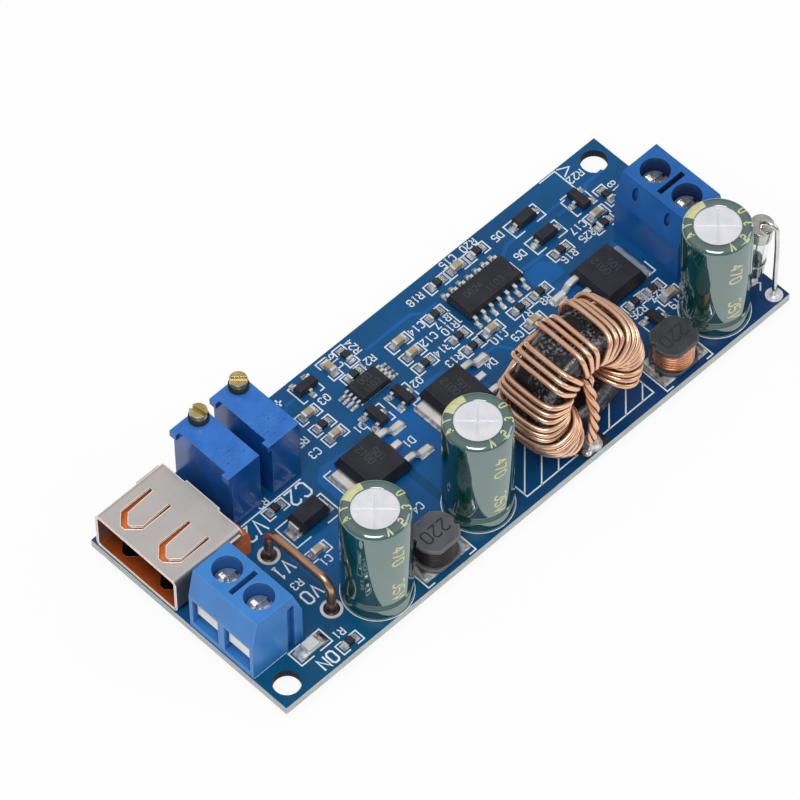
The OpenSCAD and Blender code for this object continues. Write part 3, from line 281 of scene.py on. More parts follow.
def solids(name):
    """The boxes of a CAD node's separate solids, from left to right."""
    bm = bmesh.new()
    bm.from_mesh(nodes[name].data)
    bmesh.ops.remove_doubles(bm, verts=bm.verts, dist=0.001 * MM)
    seen = set()
    found = []
    for first in bm.verts:
        if first in seen:
            continue
        seen.add(first)
        stack = [first]
        group = []
        while stack:
            vert = stack.pop()
            group.append(vert.co)
            for edge in vert.link_edges:
                other = edge.other_vert(vert)
                if other not in seen:
                    seen.add(other)
                    stack.append(other)
        low = Vector([min(p[i] for p in group) for i in range(3)]) / MM
        high = Vector([max(p[i] for p in group) for i in range(3)]) / MM
        found.append((low, high))
    bm.free()
    return sorted(found, key=lambda box: (round(box[0].x, 2), round(box[0].y, 2)))


board_low, board_high = mm_box("circuit_board")


def on_board(u, v, height=0.0):
    """A place over the board's top face, counted from its front left corner."""
    return Vector((board_low.x + u, board_low.y + v, board_high.z + height))


def board_place(box):
    """The middle of a box, counted from the board's front left corner."""
    low, high = box
    return (low.x + high.x) / 2 - board_low.x, (low.y + high.y) / 2 - board_low.y


def centre_at(box, height):
    """The middle of a box as seen from above, at a height."""
    low, high = box
    return Vector(((low.x + high.x) / 2, (low.y + high.y) / 2, height))


def piece(name, bm, material, sharp=35, replaces=()):
    """Turns a mesh in millimetres into a piece that rides on the module."""
    bmesh.ops.recalc_face_normals(bm, faces=bm.faces)
    mesh = bpy.data.meshes.new(name)
    bm.to_mesh(mesh)
    bm.free()
    mesh.transform(Matrix.Scale(MM, 4))
    mesh.shade_smooth()
    mesh.set_sharp_from_angle(angle=radians(sharp))
    mesh.materials.append(material)
    made = bpy.data.objects.new(name, mesh)
    bpy.context.scene.collection.objects.link(made)
    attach(made, ROOT)
    if replaces:
        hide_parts(*replaces)


def join(bm, first, second):
    """Closes the band between two rings of vertices; a ring of one vertex is a point."""
    count = max(len(first), len(second))
    if count == 1:
        return
    for i in range(count):
        k = (i + 1) % count
        if len(first) == 1:
            bm.faces.new((first[0], second[k], second[i]))
        elif len(second) == 1:
            bm.faces.new((first[i], first[k], second[0]))
        else:
            bm.faces.new((first[i], first[k], second[k], second[i]))


def sweep(bm, rings, closed=False):
    """Joins a row of rings of points into a solid, capped at its ends or closed on itself."""
    rings = [[bm.verts.new(point) for point in ring] for ring in rings]
    for first, second in zip(rings, rings[1:] + rings[:1] if closed else rings[1:]):
        join(bm, first, second)
    if not closed:
        bm.faces.new(rings[0])
        bm.faces.new(rings[-1])


def lathe(bm, profile, place, segments=48):
    """Turns a closed profile of (radius, height) points; place(radius, angle, height) puts them."""
    rings = []
    for radius, height in profile:
        count = segments if radius > 1e-6 else 1
        rings.append([place(radius, 2 * pi * i / segments, height) for i in range(count)])
    sweep(bm, rings, True)


def upright(centre):
    """Puts a lathe's points about a vertical axis."""
    def place(radius, angle, height):
        return centre + Vector((radius * cos(angle), radius * sin(angle), height))
    return place


def plate(bm, outline, at, thick):
    """A thin flat plate with the given outline."""
    sweep(bm, [[at(u, v, height) for u, v in outline] for height in (0.0, thick)])


def ribbon(bm, line, width, at, thick=INK_THICK, closed=False):
    """A flat stroke with mitred corners."""
    points = [Vector(p) for p in line]
    count = len(points)
    rings = []
    for i, point in enumerate(points):
        ways = []
        if closed or i > 0:
            ways.append((point - points[i - 1]).normalized())
        if closed or i < count - 1:
            ways.append((points[(i + 1) % count] - point).normalized())
        way = ways[0] + ways[-1]
        way = way.normalized() if way.length > 1e-4 else ways[0]
        side = Vector((-way.y, way.x))
        square = Vector((-ways[0].y, ways[0].x))
        reach = side * (width / 2 / max(0.5, side.dot(square)))
        corners = ((point + reach, 0.0), (point - reach, 0.0), (point - reach, thick), (point + reach, thick))
        rings.append([at(p.x, p.y, height) for p, height in corners])
    sweep(bm, rings, closed)


def cut_short(line, longest):
    """The same line with no stretch longer than a limit."""
    points = [line[0]]
    for (u0, v0), (u1, v1) in zip(line, line[1:]):
        count = max(1, ceil(hypot(u1 - u0, v1 - v0) / longest))
        for i in range(1, count + 1):
            points.append((u0 + (u1 - u0) * i / count, v0 + (v1 - v0) * i / count))
    return points


def write(bm, words, u, v, high, at, turn, width=LETTER_LINE, thick=INK_THICK, longest=99.0):
    """Stroke lettering, centred on (u, v) and turned by an angle in degrees."""
    unit = high / 6
    advance = LETTER_ADVANCE * unit
    c = cos(radians(turn))
    s = sin(radians(turn))
    start = -advance * (len(words) - 1) / 2
    for i, letter in enumerate(words):
        for stroke in GLYPHS[letter]:
            line = []
            for pair in stroke.split():
                x = start + i * advance + (int(pair[0]) - 2) * unit * LETTER_SLIM
                y = (int(pair[1]) - 3) * unit
                line.append((u + c * x - s * y, v + s * x + c * y))
            closed = stroke[:2] == stroke[-2:]
            line = cut_short(line, longest)
            ribbon(bm, line[:-1] if closed else line, width, at, thick, closed)


def arc(u, v, radius, start, sweep_angle, steps):
    """Points along an arc, angles in degrees."""
    turns = [radians(start + sweep_angle * i / steps) for i in range(steps + 1)]
    return [(u + radius * cos(a), v + radius * sin(a)) for a in turns]


def brackets(bm, u, v, half_u, half_v, gap, turned):
    """Two ink brackets about a part, open in the middle of the long sides."""
    for side in (-1, 1):
        line = [(side * gap / 2, half_v), (side * half_u, half_v),
                (side * half_u, -half_v), (side * gap / 2, -half_v)]
        if turned:
            line = [(-y, x) for x, y in line]
        ribbon(bm, [(u + x, v + y) for x, y in line], INK_LINE, on_board)


def smooth_path(points, per):
    """A smooth line through the points, with no overshoot."""
    points = [Vector(p) for p in points]
    ways = []
    for i in range(len(points)):
        before = points[max(i - 1, 0)]
        after = points[min(i + 1, len(points) - 1)]
        way = (points[i] - before).normalized() + (after - points[i]).normalized()
        ways.append(way.normalized())
    path = [points[0]]
    for i in range(len(points) - 1):
        reach = (points[i + 1] - points[i]).length / 3
        first = points[i] + ways[i] * reach
        second = points[i + 1] - ways[i + 1] * reach
        path += interpolate_bezier(points[i], first, second, points[i + 1], per + 1)[1:]
    return path


def way_at(path, i):
    """Which way a path runs at one of its points."""
    return (path[min(i + 1, len(path) - 1)] - path[max(i - 1, 0)]).normalized()


def tube(bm, path, radius, sides):
    """A round wire along a path, closed at both ends."""
    rings = []
    normal = way_at(path, 0).orthogonal()
    for i, point in enumerate(path):
        way = way_at(path, i)
        normal = (normal - way * normal.dot(way)).normalized()
        across = way.cross(normal)
        ring = []
        for j in range(sides):
            a = 2 * pi * j / sides
            ring.append(point + (normal * cos(a) + across * sin(a)) * radius)
        rings.append(ring)
    sweep(bm, rings)


def block(bm, low, high, edge, steps=2):
    """A box with rounded edges."""
    part = bmesh.new()
    bmesh.ops.create_cube(part, size=1.0)
    size = high - low
    for vert in part.verts:
        vert.co = Vector([low[i] + (vert.co[i] + 0.5) * size[i] for i in range(3)])
    bmesh.ops.bevel(part, geom=part.edges[:], offset=edge, segments=steps, affect="EDGES", profile=0.5)
    mesh = bpy.data.meshes.new("part")
    part.to_mesh(mesh)
    part.free()
    bm.from_mesh(mesh)
    bpy.data.meshes.remove(mesh)


def wedge(bm, foot, way, width, height, reach):
    """A solder fillet that climbs from the pad to the end of a part."""
    across = Vector((-way.y, way.x, 0.0)) * (width / 2)
    profile = ((0.0, 0.0), (reach, 0.0), (0.62 * reach, 0.12 * height),
               (0.3 * reach, 0.4 * height), (0.12 * reach, 0.72 * height), (0.0, height))
    sweep(bm, [[foot + way * x + Vector((0, 0, z)) + across * side for x, z in profile] for side in (-1, 1)])


def strip(bm, path, across, wide, thick):
    """A flat lead, bent along a path that lies in one upright plane."""
    cut = 0.2 * thick
    half = wide / 2
    deep = thick / 2
    section = ((half, deep - cut), (half - cut, deep), (cut - half, deep), (-half, deep - cut),
               (-half, cut - deep), (cut - half, -deep), (half - cut, -deep), (half, cut - deep))
    rings = []
    for i, point in enumerate(path):
        up = way_at(path, i).cross(across).normalized()
        rings.append([point + across * x + up * z for x, z in section])
    sweep(bm, rings)


def slab(bm, centre, outline, low, high, edge):
    """A flat slab with softened rims."""
    outs = [Vector((x, y, 0.0)) for x, y in outline]
    levels = ((low, edge), (low + edge, 0.0), (high - edge, 0.0), (high, edge))
    sweep(bm, [[centre + out - out.normalized() * inset + Vector((0, 0, z)) for out in outs]
               for z, inset in levels])


# Materials; places in them are in metres

def linear(code):
    """An sRGB colour written in six hex digits, as linear red, green, blue and alpha."""
    parts = [int(code[i:i + 2], 16) / 255 for i in (0, 2, 4)]
    return tuple(c / 12.92 if c <= 0.04045 else ((c + 0.055) / 1.055) ** 2.4 for c in parts) + (1.0,)


def feed(tree, node, sockets):
    """Sets a node's inputs: a socket is linked, and anything else is a constant."""
    for key, value in sockets.items():
        if isinstance(value, bpy.types.NodeSocket):
            tree.links.new(value, node.inputs[key])
        else:
            node.inputs[key].default_value = value


def add_node(tree, kind, sockets=None, **settings):
    """A shader node with its settings and inputs."""
    made = tree.nodes.new("ShaderNode" + kind)
    for key, value in settings.items():
        setattr(made, key, value)
    feed(tree, made, sockets or {})
    return made


def reckon(tree, how, *values):
    """One number from several, taken in turn, such as their product."""
    total = values[0]
    for other in values[1:]:
        total = add_node(tree, "Math", {0: total, 1: other}, operation=how).outputs["Value"]
    return total


def size_of(tree, value):
    """A number without its sign."""
    return add_node(tree, "Math", {0: value}, operation="ABSOLUTE").outputs["Value"]


def axis(tree, vector, name):
    """One coordinate of a vector."""
    return add_node(tree, "SeparateXYZ", {"Vector": vector}).outputs[name]


def facing(tree, name, kind="True Normal"):
    """One coordinate of the way that a face looks."""
    return axis(tree, add_node(tree, "NewGeometry").outputs[kind], name)


def start_material(name):
    """A new material with its tree, its shader and its place in the object's own coordinates."""
    material = bpy.data.materials.new(name)
    material.use_nodes = True
    tree = material.node_tree
    shader = tree.nodes["Principled BSDF"]
    place = add_node(tree, "TexCoord").outputs["Object"]
    return material, tree, shader, place


def noise(tree, place, scale, detail=4.0, stretch=None):
    """Noise between 0 and 1; the scale is in waves per metre."""
    if stretch:
        place = add_node(tree, "Mapping", {"Vector": place, "Scale": stretch}).outputs["Vector"]
    made = add_node(tree, "TexNoise", {"Vector": place, "Scale": scale, "Detail": detail})
    return made.outputs["Fac"]


def ramp(tree, factor, dark, light, low=0.3, high=0.7):
    """A colour between two hex colours."""
    made = add_node(tree, "ValToRGB", {"Fac": factor})
    for end, place, code in zip(made.color_ramp.elements, (low, high), (dark, light)):
        end.position = place
        end.color = linear(code)
    return made.outputs["Color"]


def spread(tree, value, low, high, to_low=0.0, to_high=1.0):
    """Maps a value from one range to another, held at the ends."""
    made = add_node(tree, "MapRange", {"Value": value, "From Min": low, "From Max": high,
                                       "To Min": to_low, "To Max": to_high})
    return made.outputs["Result"]


def blend(tree, factor, first, second, how="MIX"):
    """Mixes two colours."""
    sockets = {0: factor, 6: first, 7: second}
    return add_node(tree, "Mix", sockets, data_type="RGBA", blend_type=how).outputs[2]


def soft_normal(tree, radius):
    """The surface's normal, turned smoothly over the edges."""
    return add_node(tree, "Bevel", {"Radius": radius * MM}, samples=BEVEL_SAMPLES).outputs["Normal"]


def surface(tree, shader, height, strength, edge=0.0):
    """Sets the shader's normal from softened edges and a height."""
    sockets = {"Height": height, "Strength": strength, "Distance": BUMP_DEEP * MM}
    if edge:
        sockets["Normal"] = soft_normal(tree, edge)
    feed(tree, shader, {"Normal": add_node(tree, "Bump", sockets).outputs["Normal"]})


def edge_mask(tree, radius=0.1):
    """1 along the edges of a piece, 0 on its faces."""
    plain = add_node(tree, "NewGeometry").outputs["Normal"]
    sockets = {0: soft_normal(tree, radius), 1: plain}
    match = add_node(tree, "VectorMath", sockets, operation="DOT_PRODUCT").outputs["Value"]
    return spread(tree, match, 0.99, 0.8)


def recess_shade_mask(tree, reach):
    """1 deep in the holes and gaps of a piece, where shade is painted, 0 on its open faces."""
    sky = add_node(tree, "AmbientOcclusion", {"Distance": reach * MM}, samples=8, only_local=True)
    return spread(tree, sky.outputs["AO"], RECESS_OPEN, RECESS_CLOSED)


def finish(name, dark, light, scale, rough, metal=0.0, ior=1.5, grain=6000.0, strength=0.1,
           edge=0.08, edge_highlight=None, spec=0.5, tint="ffffff", deep=None, reach=5.0):
    """A material whose colour and gloss wander over the piece, with a fine grain, soft edges, a painted
    highlight along its edges and painted shade in its holes and gaps when those colours are given.
    """
    material, tree, shader, place = start_material(name)
    patch = noise(tree, place, scale, 5.0)
    fine = noise(tree, place, grain, 3.0)
    colour = ramp(tree, patch, dark, light)
    # painted highlight: a paler colour along the edges
    if edge_highlight:
        colour = blend(tree, edge_mask(tree), colour, linear(edge_highlight))
    gloss = spread(tree, patch, 0.3, 0.7, rough * 0.85, min(1.0, rough * 1.2))
    # painted shade: a darker colour deep in holes and gaps
    if deep:
        recess = recess_shade_mask(tree, reach)
        colour = blend(tree, recess, colour, linear(deep))
        gloss = reckon(tree, "MAXIMUM", gloss, recess)
    feed(tree, shader, {"Base Color": colour, "Roughness": gloss, "Metallic": metal, "IOR": ior,
                        "Specular IOR Level": spec, "Specular Tint": linear(tint)})
    surface(tree, shader, fine, strength, edge)
    return material


def faces_up(tree):
    """1 on faces that look up or down, 0 on upright ones."""
    return spread(tree, size_of(tree, facing(tree, "Z")), 0.5, 0.6)


def socket_shade_mask(tree, place):
    """1 on the board's top inside the USB socket's outline, where hardly any light comes and shade is
    painted.
    """
    low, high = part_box("usb_shell")
    bands = (("X", low.x, 0.3, 1.0), ("X", high.x, -1.0, -1.6),
             ("Y", low.y, 0.3, 0.8), ("Y", high.y, -0.3, -0.8))
    shares = [spread(tree, axis(tree, place, name), wall + light * MM, wall + dark * MM)
              for name, wall, light, dark in bands]
    return reckon(tree, "MULTIPLY", *shares)


def inside_edges(tree, place):
    """1 well inside the board's outline, where upright faces are the walls of holes."""
    low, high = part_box("circuit_board")
    shares = []
    for i, name in enumerate("XY"):
        off = reckon(tree, "SUBTRACT", axis(tree, place, name), (low[i] + high[i]) / 2)
        reach = (high[i] - low[i]) / 2
        shares.append(spread(tree, size_of(tree, off), reach - 0.1 * MM, reach - 0.2 * MM))
    return reckon(tree, "MULTIPLY", *shares)


def mask_colour(tree, place, left, right, back):
    """The mask's blue with painted shade: darker towards the front right and lighter towards the back, as
    light falls, and near black painted shade under the socket.
    """
    # painted shade: the blue goes from the front left tone to a darker front right tone and to a lighter back
    # tone
    along = spread(tree, axis(tree, place, "X"), -0.02, 0.012)
    away = spread(tree, axis(tree, place, "Y"), -0.012, 0.002)
    front = blend(tree, along, linear(left), linear(right))
    whole = blend(tree, away, front, linear(back))
    cloud = ramp(tree, noise(tree, place, 260.0), "c8c8c8", "ffffff")
    clouded = blend(tree, noise(tree, place, 9000.0, 2.0), whole, cloud, "MULTIPLY")
    mask = blend(tree, faces_up(tree), whole, clouded)
    # painted shade: near black on the board under the socket
    return blend(tree, socket_shade_mask(tree, place), mask, linear("020408"))


def board_material():
    """Blue mask above and below, pale glass fibre round the edge, and painted shade on the walls of holes."""
    material, tree, shader, place = start_material("board_mask")
    mask = mask_colour(tree, place, "07527a", "083a6c", "0f5488")
    weave = noise(tree, place, 2600.0, 4.0, (0.15, 0.15, 3.0))
    fibre = ramp(tree, weave, "93a0a3", "d9dcd4", 0.25, 0.75)
    # painted shade: dark fibre on the walls of holes
    fibre = blend(tree, inside_edges(tree, place), fibre, linear("0c1a24"))
    flat = faces_up(tree)
    feed(tree, shader, {"Base Color": blend(tree, flat, fibre, mask), "Specular IOR Level": MASK_GLOSS,
                        "Roughness": spread(tree, flat, 0.0, 1.0, 0.7, 0.3)})
    surface(tree, shader, noise(tree, place, 1500.0, 3.0), 0.06)
    return material


def pour_material():
    """The same mask, with the same painted shade, where there is copper under it."""
    material, tree, shader, place = start_material("mask_over_copper")
    feed(tree, shader, {"Base Color": mask_colour(tree, place, "095a8c", "0b4c92", "1462a8"),
                        "Roughness": 0.28, "Specular IOR Level": MASK_GLOSS})
    surface(tree, shader, noise(tree, place, 1500.0, 3.0), 0.06)
    return material


def trimmer_material():
    """Blue moulding, its top faces painted lighter as lit from above and its walls painted darker as shaded,
    with a painted highlight along the edges.
    """
    material, tree, shader, place = start_material("trimmer_plastic")
    tone = noise(tree, place, 500.0)
    # painted light: top faces lighter and walls darker, as light falls from above
    lit_top = ramp(tree, tone, "2868be", "3678ca")
    wall = ramp(tree, tone, "0e4e92", "1858a8")
    body = blend(tree, faces_up(tree), wall, lit_top)
    fine = noise(tree, place, 5000.0)
    # painted highlight along the edges
    feed(tree, shader, {"Base Color": blend(tree, edge_mask(tree), body, linear("5a96de")),
                        "Roughness": spread(tree, fine, 0.3, 0.7, 0.16, 0.24), "Specular IOR Level": 0.4})
    surface(tree, shader, fine, 0.03, 0.12)
    return material


def shell_material():
    """Plated steel sheet with a painted highlight along its edges and painted shade on its near side; on its
    inner floor a painted reflection of the orange plastic, lit near the mouth and shaded further in.
    """
    material, tree, shader, place = start_material("shell_plate")
    plain = ramp(tree, noise(tree, place, 250.0, 3.0), "d0cac6", "dad4d0")
    # painted highlight along the edges, tinted pink as a painted reflection of the orange plastic
    plain = blend(tree, edge_mask(tree, 0.12), plain, linear("ffe8dc"))
    # painted shade: the side that looks towards -Y is darker
    plain = blend(tree, spread(tree, facing(tree, "Y"), -0.5, -0.8), plain, linear("988c8c"))
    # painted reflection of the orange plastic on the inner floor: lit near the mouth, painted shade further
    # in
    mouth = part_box("usb_shell")[0].x
    deep = spread(tree, axis(tree, place, "X"), mouth, mouth + FLOOR_LIGHT_REACH * MM)
    orange_reflection = blend(tree, deep, linear("cf7237"), linear("5a2912"))
    low = spread(tree, axis(tree, place, "Z"), 0.003, 0.002)
    inside = reckon(tree, "MULTIPLY", low, spread(tree, facing(tree, "Z"), 0.4, 0.6))
    patch = noise(tree, place, 400.0, 2.0)
    feed(tree, shader, {"Base Color": blend(tree, inside, plain, orange_reflection), "Metallic": 0.75,
                        "Roughness": spread(tree, patch, 0.3, 0.7, 0.26, 0.32)})
    surface(tree, shader, patch, 0.02, 0.08)
    return material


def core_material():
    """Coated iron powder: black and grainy with pale specks, glossier on its rounded edges, where a paler
    grey is painted as a highlight.
    """
    material, tree, shader, place = start_material("core_coating")
    along = size_of(tree, facing(tree, "Y", "Normal"))
    edge = reckon(tree, "MULTIPLY", spread(tree, along, 0.15, 0.45), spread(tree, along, 0.99, 0.9))
    grains = add_node(tree, "TexVoronoi", {"Vector": place, "Scale": 3400.0}).outputs["Distance"]
    lumps = noise(tree, place, 600.0, 6.0)
    # painted highlight: paler grey on the rounded edges
    dark = blend(tree, edge, ramp(tree, lumps, "060507", "171518"), linear("3a3b41"))
    spots = spread(tree, noise(tree, place, 3000.0, 5.0), 0.5, 0.64)
    rough_part = spread(tree, noise(tree, place, 260.0, 2.0), 0.42, 0.58)
    specks = reckon(tree, "MULTIPLY", spots, rough_part)
    feed(tree, shader, {"Base Color": blend(tree, specks, dark, linear("74747a")),
                        "Roughness": spread(tree, edge, 0.0, 1.0, 0.42, 0.22),
                        "Specular IOR Level": spread(tree, edge, 0.0, 1.0, 0.3, 1.0)})
    surface(tree, shader, reckon(tree, "ADD", grains, lumps), 0.6)
    return material


def shunt_material():
    """Drawn alloy wire that is browned towards its soldered ends."""
    material, tree, shader, place = start_material("shunt_alloy")
    drawn = (1.0, 0.1, 1.0)
    clean = ramp(tree, noise(tree, place, 1200.0, 5.0, drawn), "a87c62", "dcb094")
    burnt = ramp(tree, noise(tree, place, 900.0), "2b1a14", "5a3a2a")
    above = spread(tree, axis(tree, place, "Z"), 0.0018, 0.0042)
    feed(tree, shader, {"Base Color": blend(tree, above, burnt, clean), "Metallic": 0.9, "Roughness": 0.26})
    surface(tree, shader, noise(tree, place, 1500.0, 3.0, drawn), 0.06)
    return material


def glass_material():
    """Thin clear glass with faint ripples."""
    material, tree, shader, place = start_material("fuse_glass")
    ripple = noise(tree, place, 600.0, 2.0)
    feed(tree, shader, {"Base Color": linear("f4f8f8"), "Transmission Weight": 1.0, "IOR": 1.35,
                        "Roughness": spread(tree, ripple, 0.3, 0.7, 0.01, 0.06)})
    surface(tree, shader, ripple, 0.05)
    return material


def lamp_material():
    """Milky resin that lets some light in."""
    material, tree, shader, place = start_material("lamp_resin")
    feed(tree, shader, {"Base Color": ramp(tree, noise(tree, place, 1500.0), "dfe6e6", "f6f8f4"),
                        "Transmission Weight": 0.25, "Roughness": 0.2})
    surface(tree, shader, noise(tree, place, 4000.0), 0.05, 0.05)
    return material


# Below, an edge colour given to a finish is a painted highlight along its edges, and a deep colour is painted
# shade in its holes and gaps.
MASK = board_material()
POUR = pour_material()
INK = finish("white_ink", "d2dade", "eef2f2", 2500.0, 0.55, edge=0.0)
STEEL = shell_material()
# painted highlight: near white rims, tinted pink as a painted reflection of the orange plastic
RIM_SHEEN = finish("rolled_rim", "f6e2d6", "fff2ea", 900.0, 0.3, 0.3, strength=0.02, edge=0.0)
ORANGE = finish("orange_moulding", "d8682a", "ec8744", 700.0, 0.4, spec=0.3)
CONTACT = finish("contact_plate", "b08a3c", "d8b868", 1200.0, 0.28, 0.9, strength=0.03)
BLUE = finish("terminal_moulding", "3178c0", "3e86d0", 300.0, 0.35, strength=0.04, edge_highlight="7fb2e6",
              spec=0.35, deep="2464ac")
# painted shade: a darker copy of the same blue plastic for the input terminal
SHADED_BLUE = finish("shaded_terminal_moulding", "175aa2", "2066b2", 300.0, 0.35, strength=0.04, edge_highlight="3f82c8",
                   spec=0.35, deep="07265a")
SCREW = finish("screw_plate", "b8b8b6", "ffffff", 900.0, 0.16, 0.85, grain=1400.0, strength=0.6,
               edge_highlight="ffffff")
TIN = finish("tin_plate", "dedcd6", "f8f6f2", 700.0, 0.2, 0.65, grain=1500.0, strength=0.04, edge_highlight="ffffff")
WIRE = finish("polished_wire", "c4c4c4", "e4e4e2", 500.0, 0.13, 1.0, grain=900.0, strength=0.02, edge=0.0)
PAD = finish("pad_plate", "ccccce", "e8e8e8", 800.0, 0.35, 0.3, grain=1500.0, strength=0.05, edge=0.0)
CAGE = finish("cage_plate", "dedcd6", "f4f2ee", 500.0, 0.35, 0.3, strength=0.02)
TRIMMER = trimmer_material()
BRASS = finish("adjuster_plate", "ae9650", "dccb94", 900.0, 0.26, 0.9, grain=2000.0, strength=0.05,
               edge_highlight="f4ecc8")
RUBBER = finish("seal_ring", "18181a", "2a2a2c", 2000.0, 0.7)
CAN = finish("can_top", "e6e6ee", "f2f2f8", 600.0, 0.4, 0.4, grain=9000.0, strength=0.02, edge=0.03)
SLEEVE = finish("sleeve_film", "053a38", "084741", 500.0, 0.06, ior=2.85, grain=500.0, strength=0.03,
                edge=0.0, tint="effffb")
CREAM = finish("cream_print", "c4c48c", "d6d6a6", 1500.0, 0.3, edge=0.0)
CORE = core_material()
# painted shade: dark brown deep in the gaps between the strands
COPPER = finish("enamelled_copper", "e8ae8a", "f8ceb0", 180.0, 0.22, 0.78, grain=900.0, strength=0.01,
                edge=0.0, deep="4a2214", reach=2.2)
COIL = finish("choke_copper", "b87450", "e4aa84", 500.0, 0.24, 0.85, grain=900.0, strength=0.01, edge=0.0)
# painted shade: a near black copy of the choke copper for the coil between the output choke's flanges
SHADED_COIL = finish("choke_shaded_coil", "141112", "30241f", 900.0, 0.35, 0.2, grain=900.0, strength=0.02,
                   edge=0.0)
FERRITE = finish("ferrite_grey", "4f4f56", "64646c", 500.0, 0.45, strength=0.12, edge_highlight="c4c4c8", spec=0.4)
FERRITE_DARK = finish("ferrite_dark", "303136", "414248", 500.0, 0.45, strength=0.12, edge_highlight="a4a5aa", spec=0.4)
SHUNT = shunt_material()
GLASS = glass_material()
FUSE_CAP = finish("fuse_cap_plate", "a8a7a2", "d2d0ca", 600.0, 0.16, 1.0, grain=500.0, strength=0.2,
                  edge_highlight="ffffff")
MOULD = finish("dark_moulding_face", "1c1d24", "2b2c35", 500.0, 0.45, strength=0.12, edge_highlight="4a4b54", spec=0.35)
CHIP = finish("dark_chip_face", "16181c", "2a2d33", 1500.0, 0.45, strength=0.1, spec=0.35)
CERAMIC = finish("tan_ceramic_face", "97896e", "bcae92", 1500.0, 0.45, strength=0.08)
LAMP = lamp_material()
# painted reflections: both solders are patches of near black and white that stand for what the metal
# reflects, with painted highlights
SOLDER = finish("solder_joint", "84868a", "ffffff", 1300.0, 0.16, 0.55, grain=1100.0, strength=0.35)
SOLDER_PAINTED_GLINTS = finish("solder_painted_glints", "1c1c1f", "ffffff", 1000.0, 0.12, 0.4, grain=1100.0, strength=0.4)
FLUX = finish("browned_solder", "26201c", "645a50", 900.0, 0.3, 0.7, grain=1200.0, strength=0.4)
CODE = finish("code_print", "383a41", "44474e", 2500.0, 0.6, edge=0.0)
DARK_CODE = finish("dark_code_print", "18181b", "262629", 2500.0, 0.4, edge=0.0)

FINISHES = {
    MASK: ("circuit_board",),
    CONTACT: ("usb_contacts",),
    BLUE: ("output_terminal_housing",),
    SHADED_BLUE: ("input_terminal_housing",),
    SCREW: ("output_terminal_screw_1", "output_terminal_screw_2",
            "input_terminal_screw_1", "input_terminal_screw_2"),
    CAGE: ("output_terminal_cages", "input_terminal_cages"),
    TRIMMER: ("voltage_trimmer_case", "current_trimmer_case"),
    BRASS: ("voltage_trimmer_screw", "current_trimmer_screw"),
    RUBBER: ("trimmer_seals",),
    CAN: ("output_capacitor_can", "link_capacitor_can", "input_capacitor_can"),
    SHUNT: ("shunt_wire",),
    GLASS: ("fuse_tube",),
    FUSE_CAP: ("fuse_caps",),
    MOULD: ("output_rectifier_body", "link_rectifier_body", "main_switch_body", "comparator_body",
            "controller_body", "clamp_diode_body", "transistor_bodies", "signal_diode_bodies"),
    CHIP: ("chip_resistors",),
    CERAMIC: ("chip_capacitors",),
    SOLDER_PAINTED_GLINTS: ("choke_terminals",),
    TIN: ("trimmer_pins", "capacitor_leads", "fuse_element", "comparator_leads", "controller_leads",
          "clamp_diode_ends", "transistor_leads", "signal_diode_leads", "chip_ends"),
    SOLDER: ("solder_pads", "solder_fillets"),
}


def dress_nodes():
    """Gives each CAD node that stays its finish."""
    for material, names in FINISHES.items():
        for name in names:
            mesh = nodes[name].data
            mesh.materials.clear()
            mesh.materials.append(material)


# Pieces on the board

LABELS = (
    ("R1", 11.0, 3.05), ("R2", 17.0, 21.6), ("C1", 16.8, 11.05), ("R3", 12.2, 11.0), ("C2", 26.4, 26.7),
    ("R5", 26.0, 24.5), ("C3", 26.0, 22.4), ("C4", 29.0, 8.9), ("D1", 34.6, 16.0), ("Q1", 32.0, 21.3),
    ("Q2", 41.0, 21.3), ("Q3", 31.9, 27.0), ("R21", 39.0, 27.3), ("C14", 46.2, 26.7), ("C12", 46.2, 24.6),
    ("R14", 46.2, 22.5), ("R17", 49.0, 25.3), ("R10", 49.0, 24.0), ("R13", 46.2, 20.5), ("R18", 49.0, 29.7),
    ("C15", 55.4, 30.9), ("R20", 58.7, 30.9), ("C10", 52.1, 19.15), ("R7", 56.5, 19.15), ("R8", 59.6, 19.15),
    ("C9", 53.7, 17.8), ("D4", 48.8, 17.2), ("D5", 62.0, 29.4), ("D6", 62.0, 25.7), ("R16", 65.9, 21.6),
    ("C17", 69.5, 23.8), ("R25", 69.5, 22.2), ("R22", 74.5, 29.2), ("R26", 65.9, 10.4), ("R27", 69.2, 10.55),
    ("C19", 70.1, 8.3),
)
SIDE_LABELS = (("R24", 39.3, 30.0), ("C16", 36.4, 30.0), ("C18", 76.7, 24.7))
LARGE_MARKS = (
    ("V1", 12.5, 13.5, 1.75), ("V0", 12.5, 8.9, 1.7), ("ON", 7.7, 1.3, 1.6),
    ("V2", 13.8, 19.6, 2.0), ("C2", 20.8, 19.7, 2.0), ("+", 27.8, 30.3, 1.7),
)
INK_LINES = (
    ((0.2, 5.35), (5.2, 5.35)),
    ((13.1, 21.0), (22.4, 21.0)),
    ((34.3, 23.4), (38.8, 23.4)),
    ((70.8, 28.0), (73.3, 28.0), (73.3, 31.4), (70.8, 31.4)),
    ((73.6, 30.0), (75.0, 30.7), (73.6, 31.4)),
    ((77.96, 4.24), (78.75, 3.45), (77.94, 2.66)),
    ((25.6, 19.4), (24.45, 19.4), (24.45, 16.0)),
    ((40.0, 19.4), (38.6, 19.4), (38.6, 18.9)),
    ((71.5, 15.0), (71.5, 13.2), (70.4, 13.2)),
)
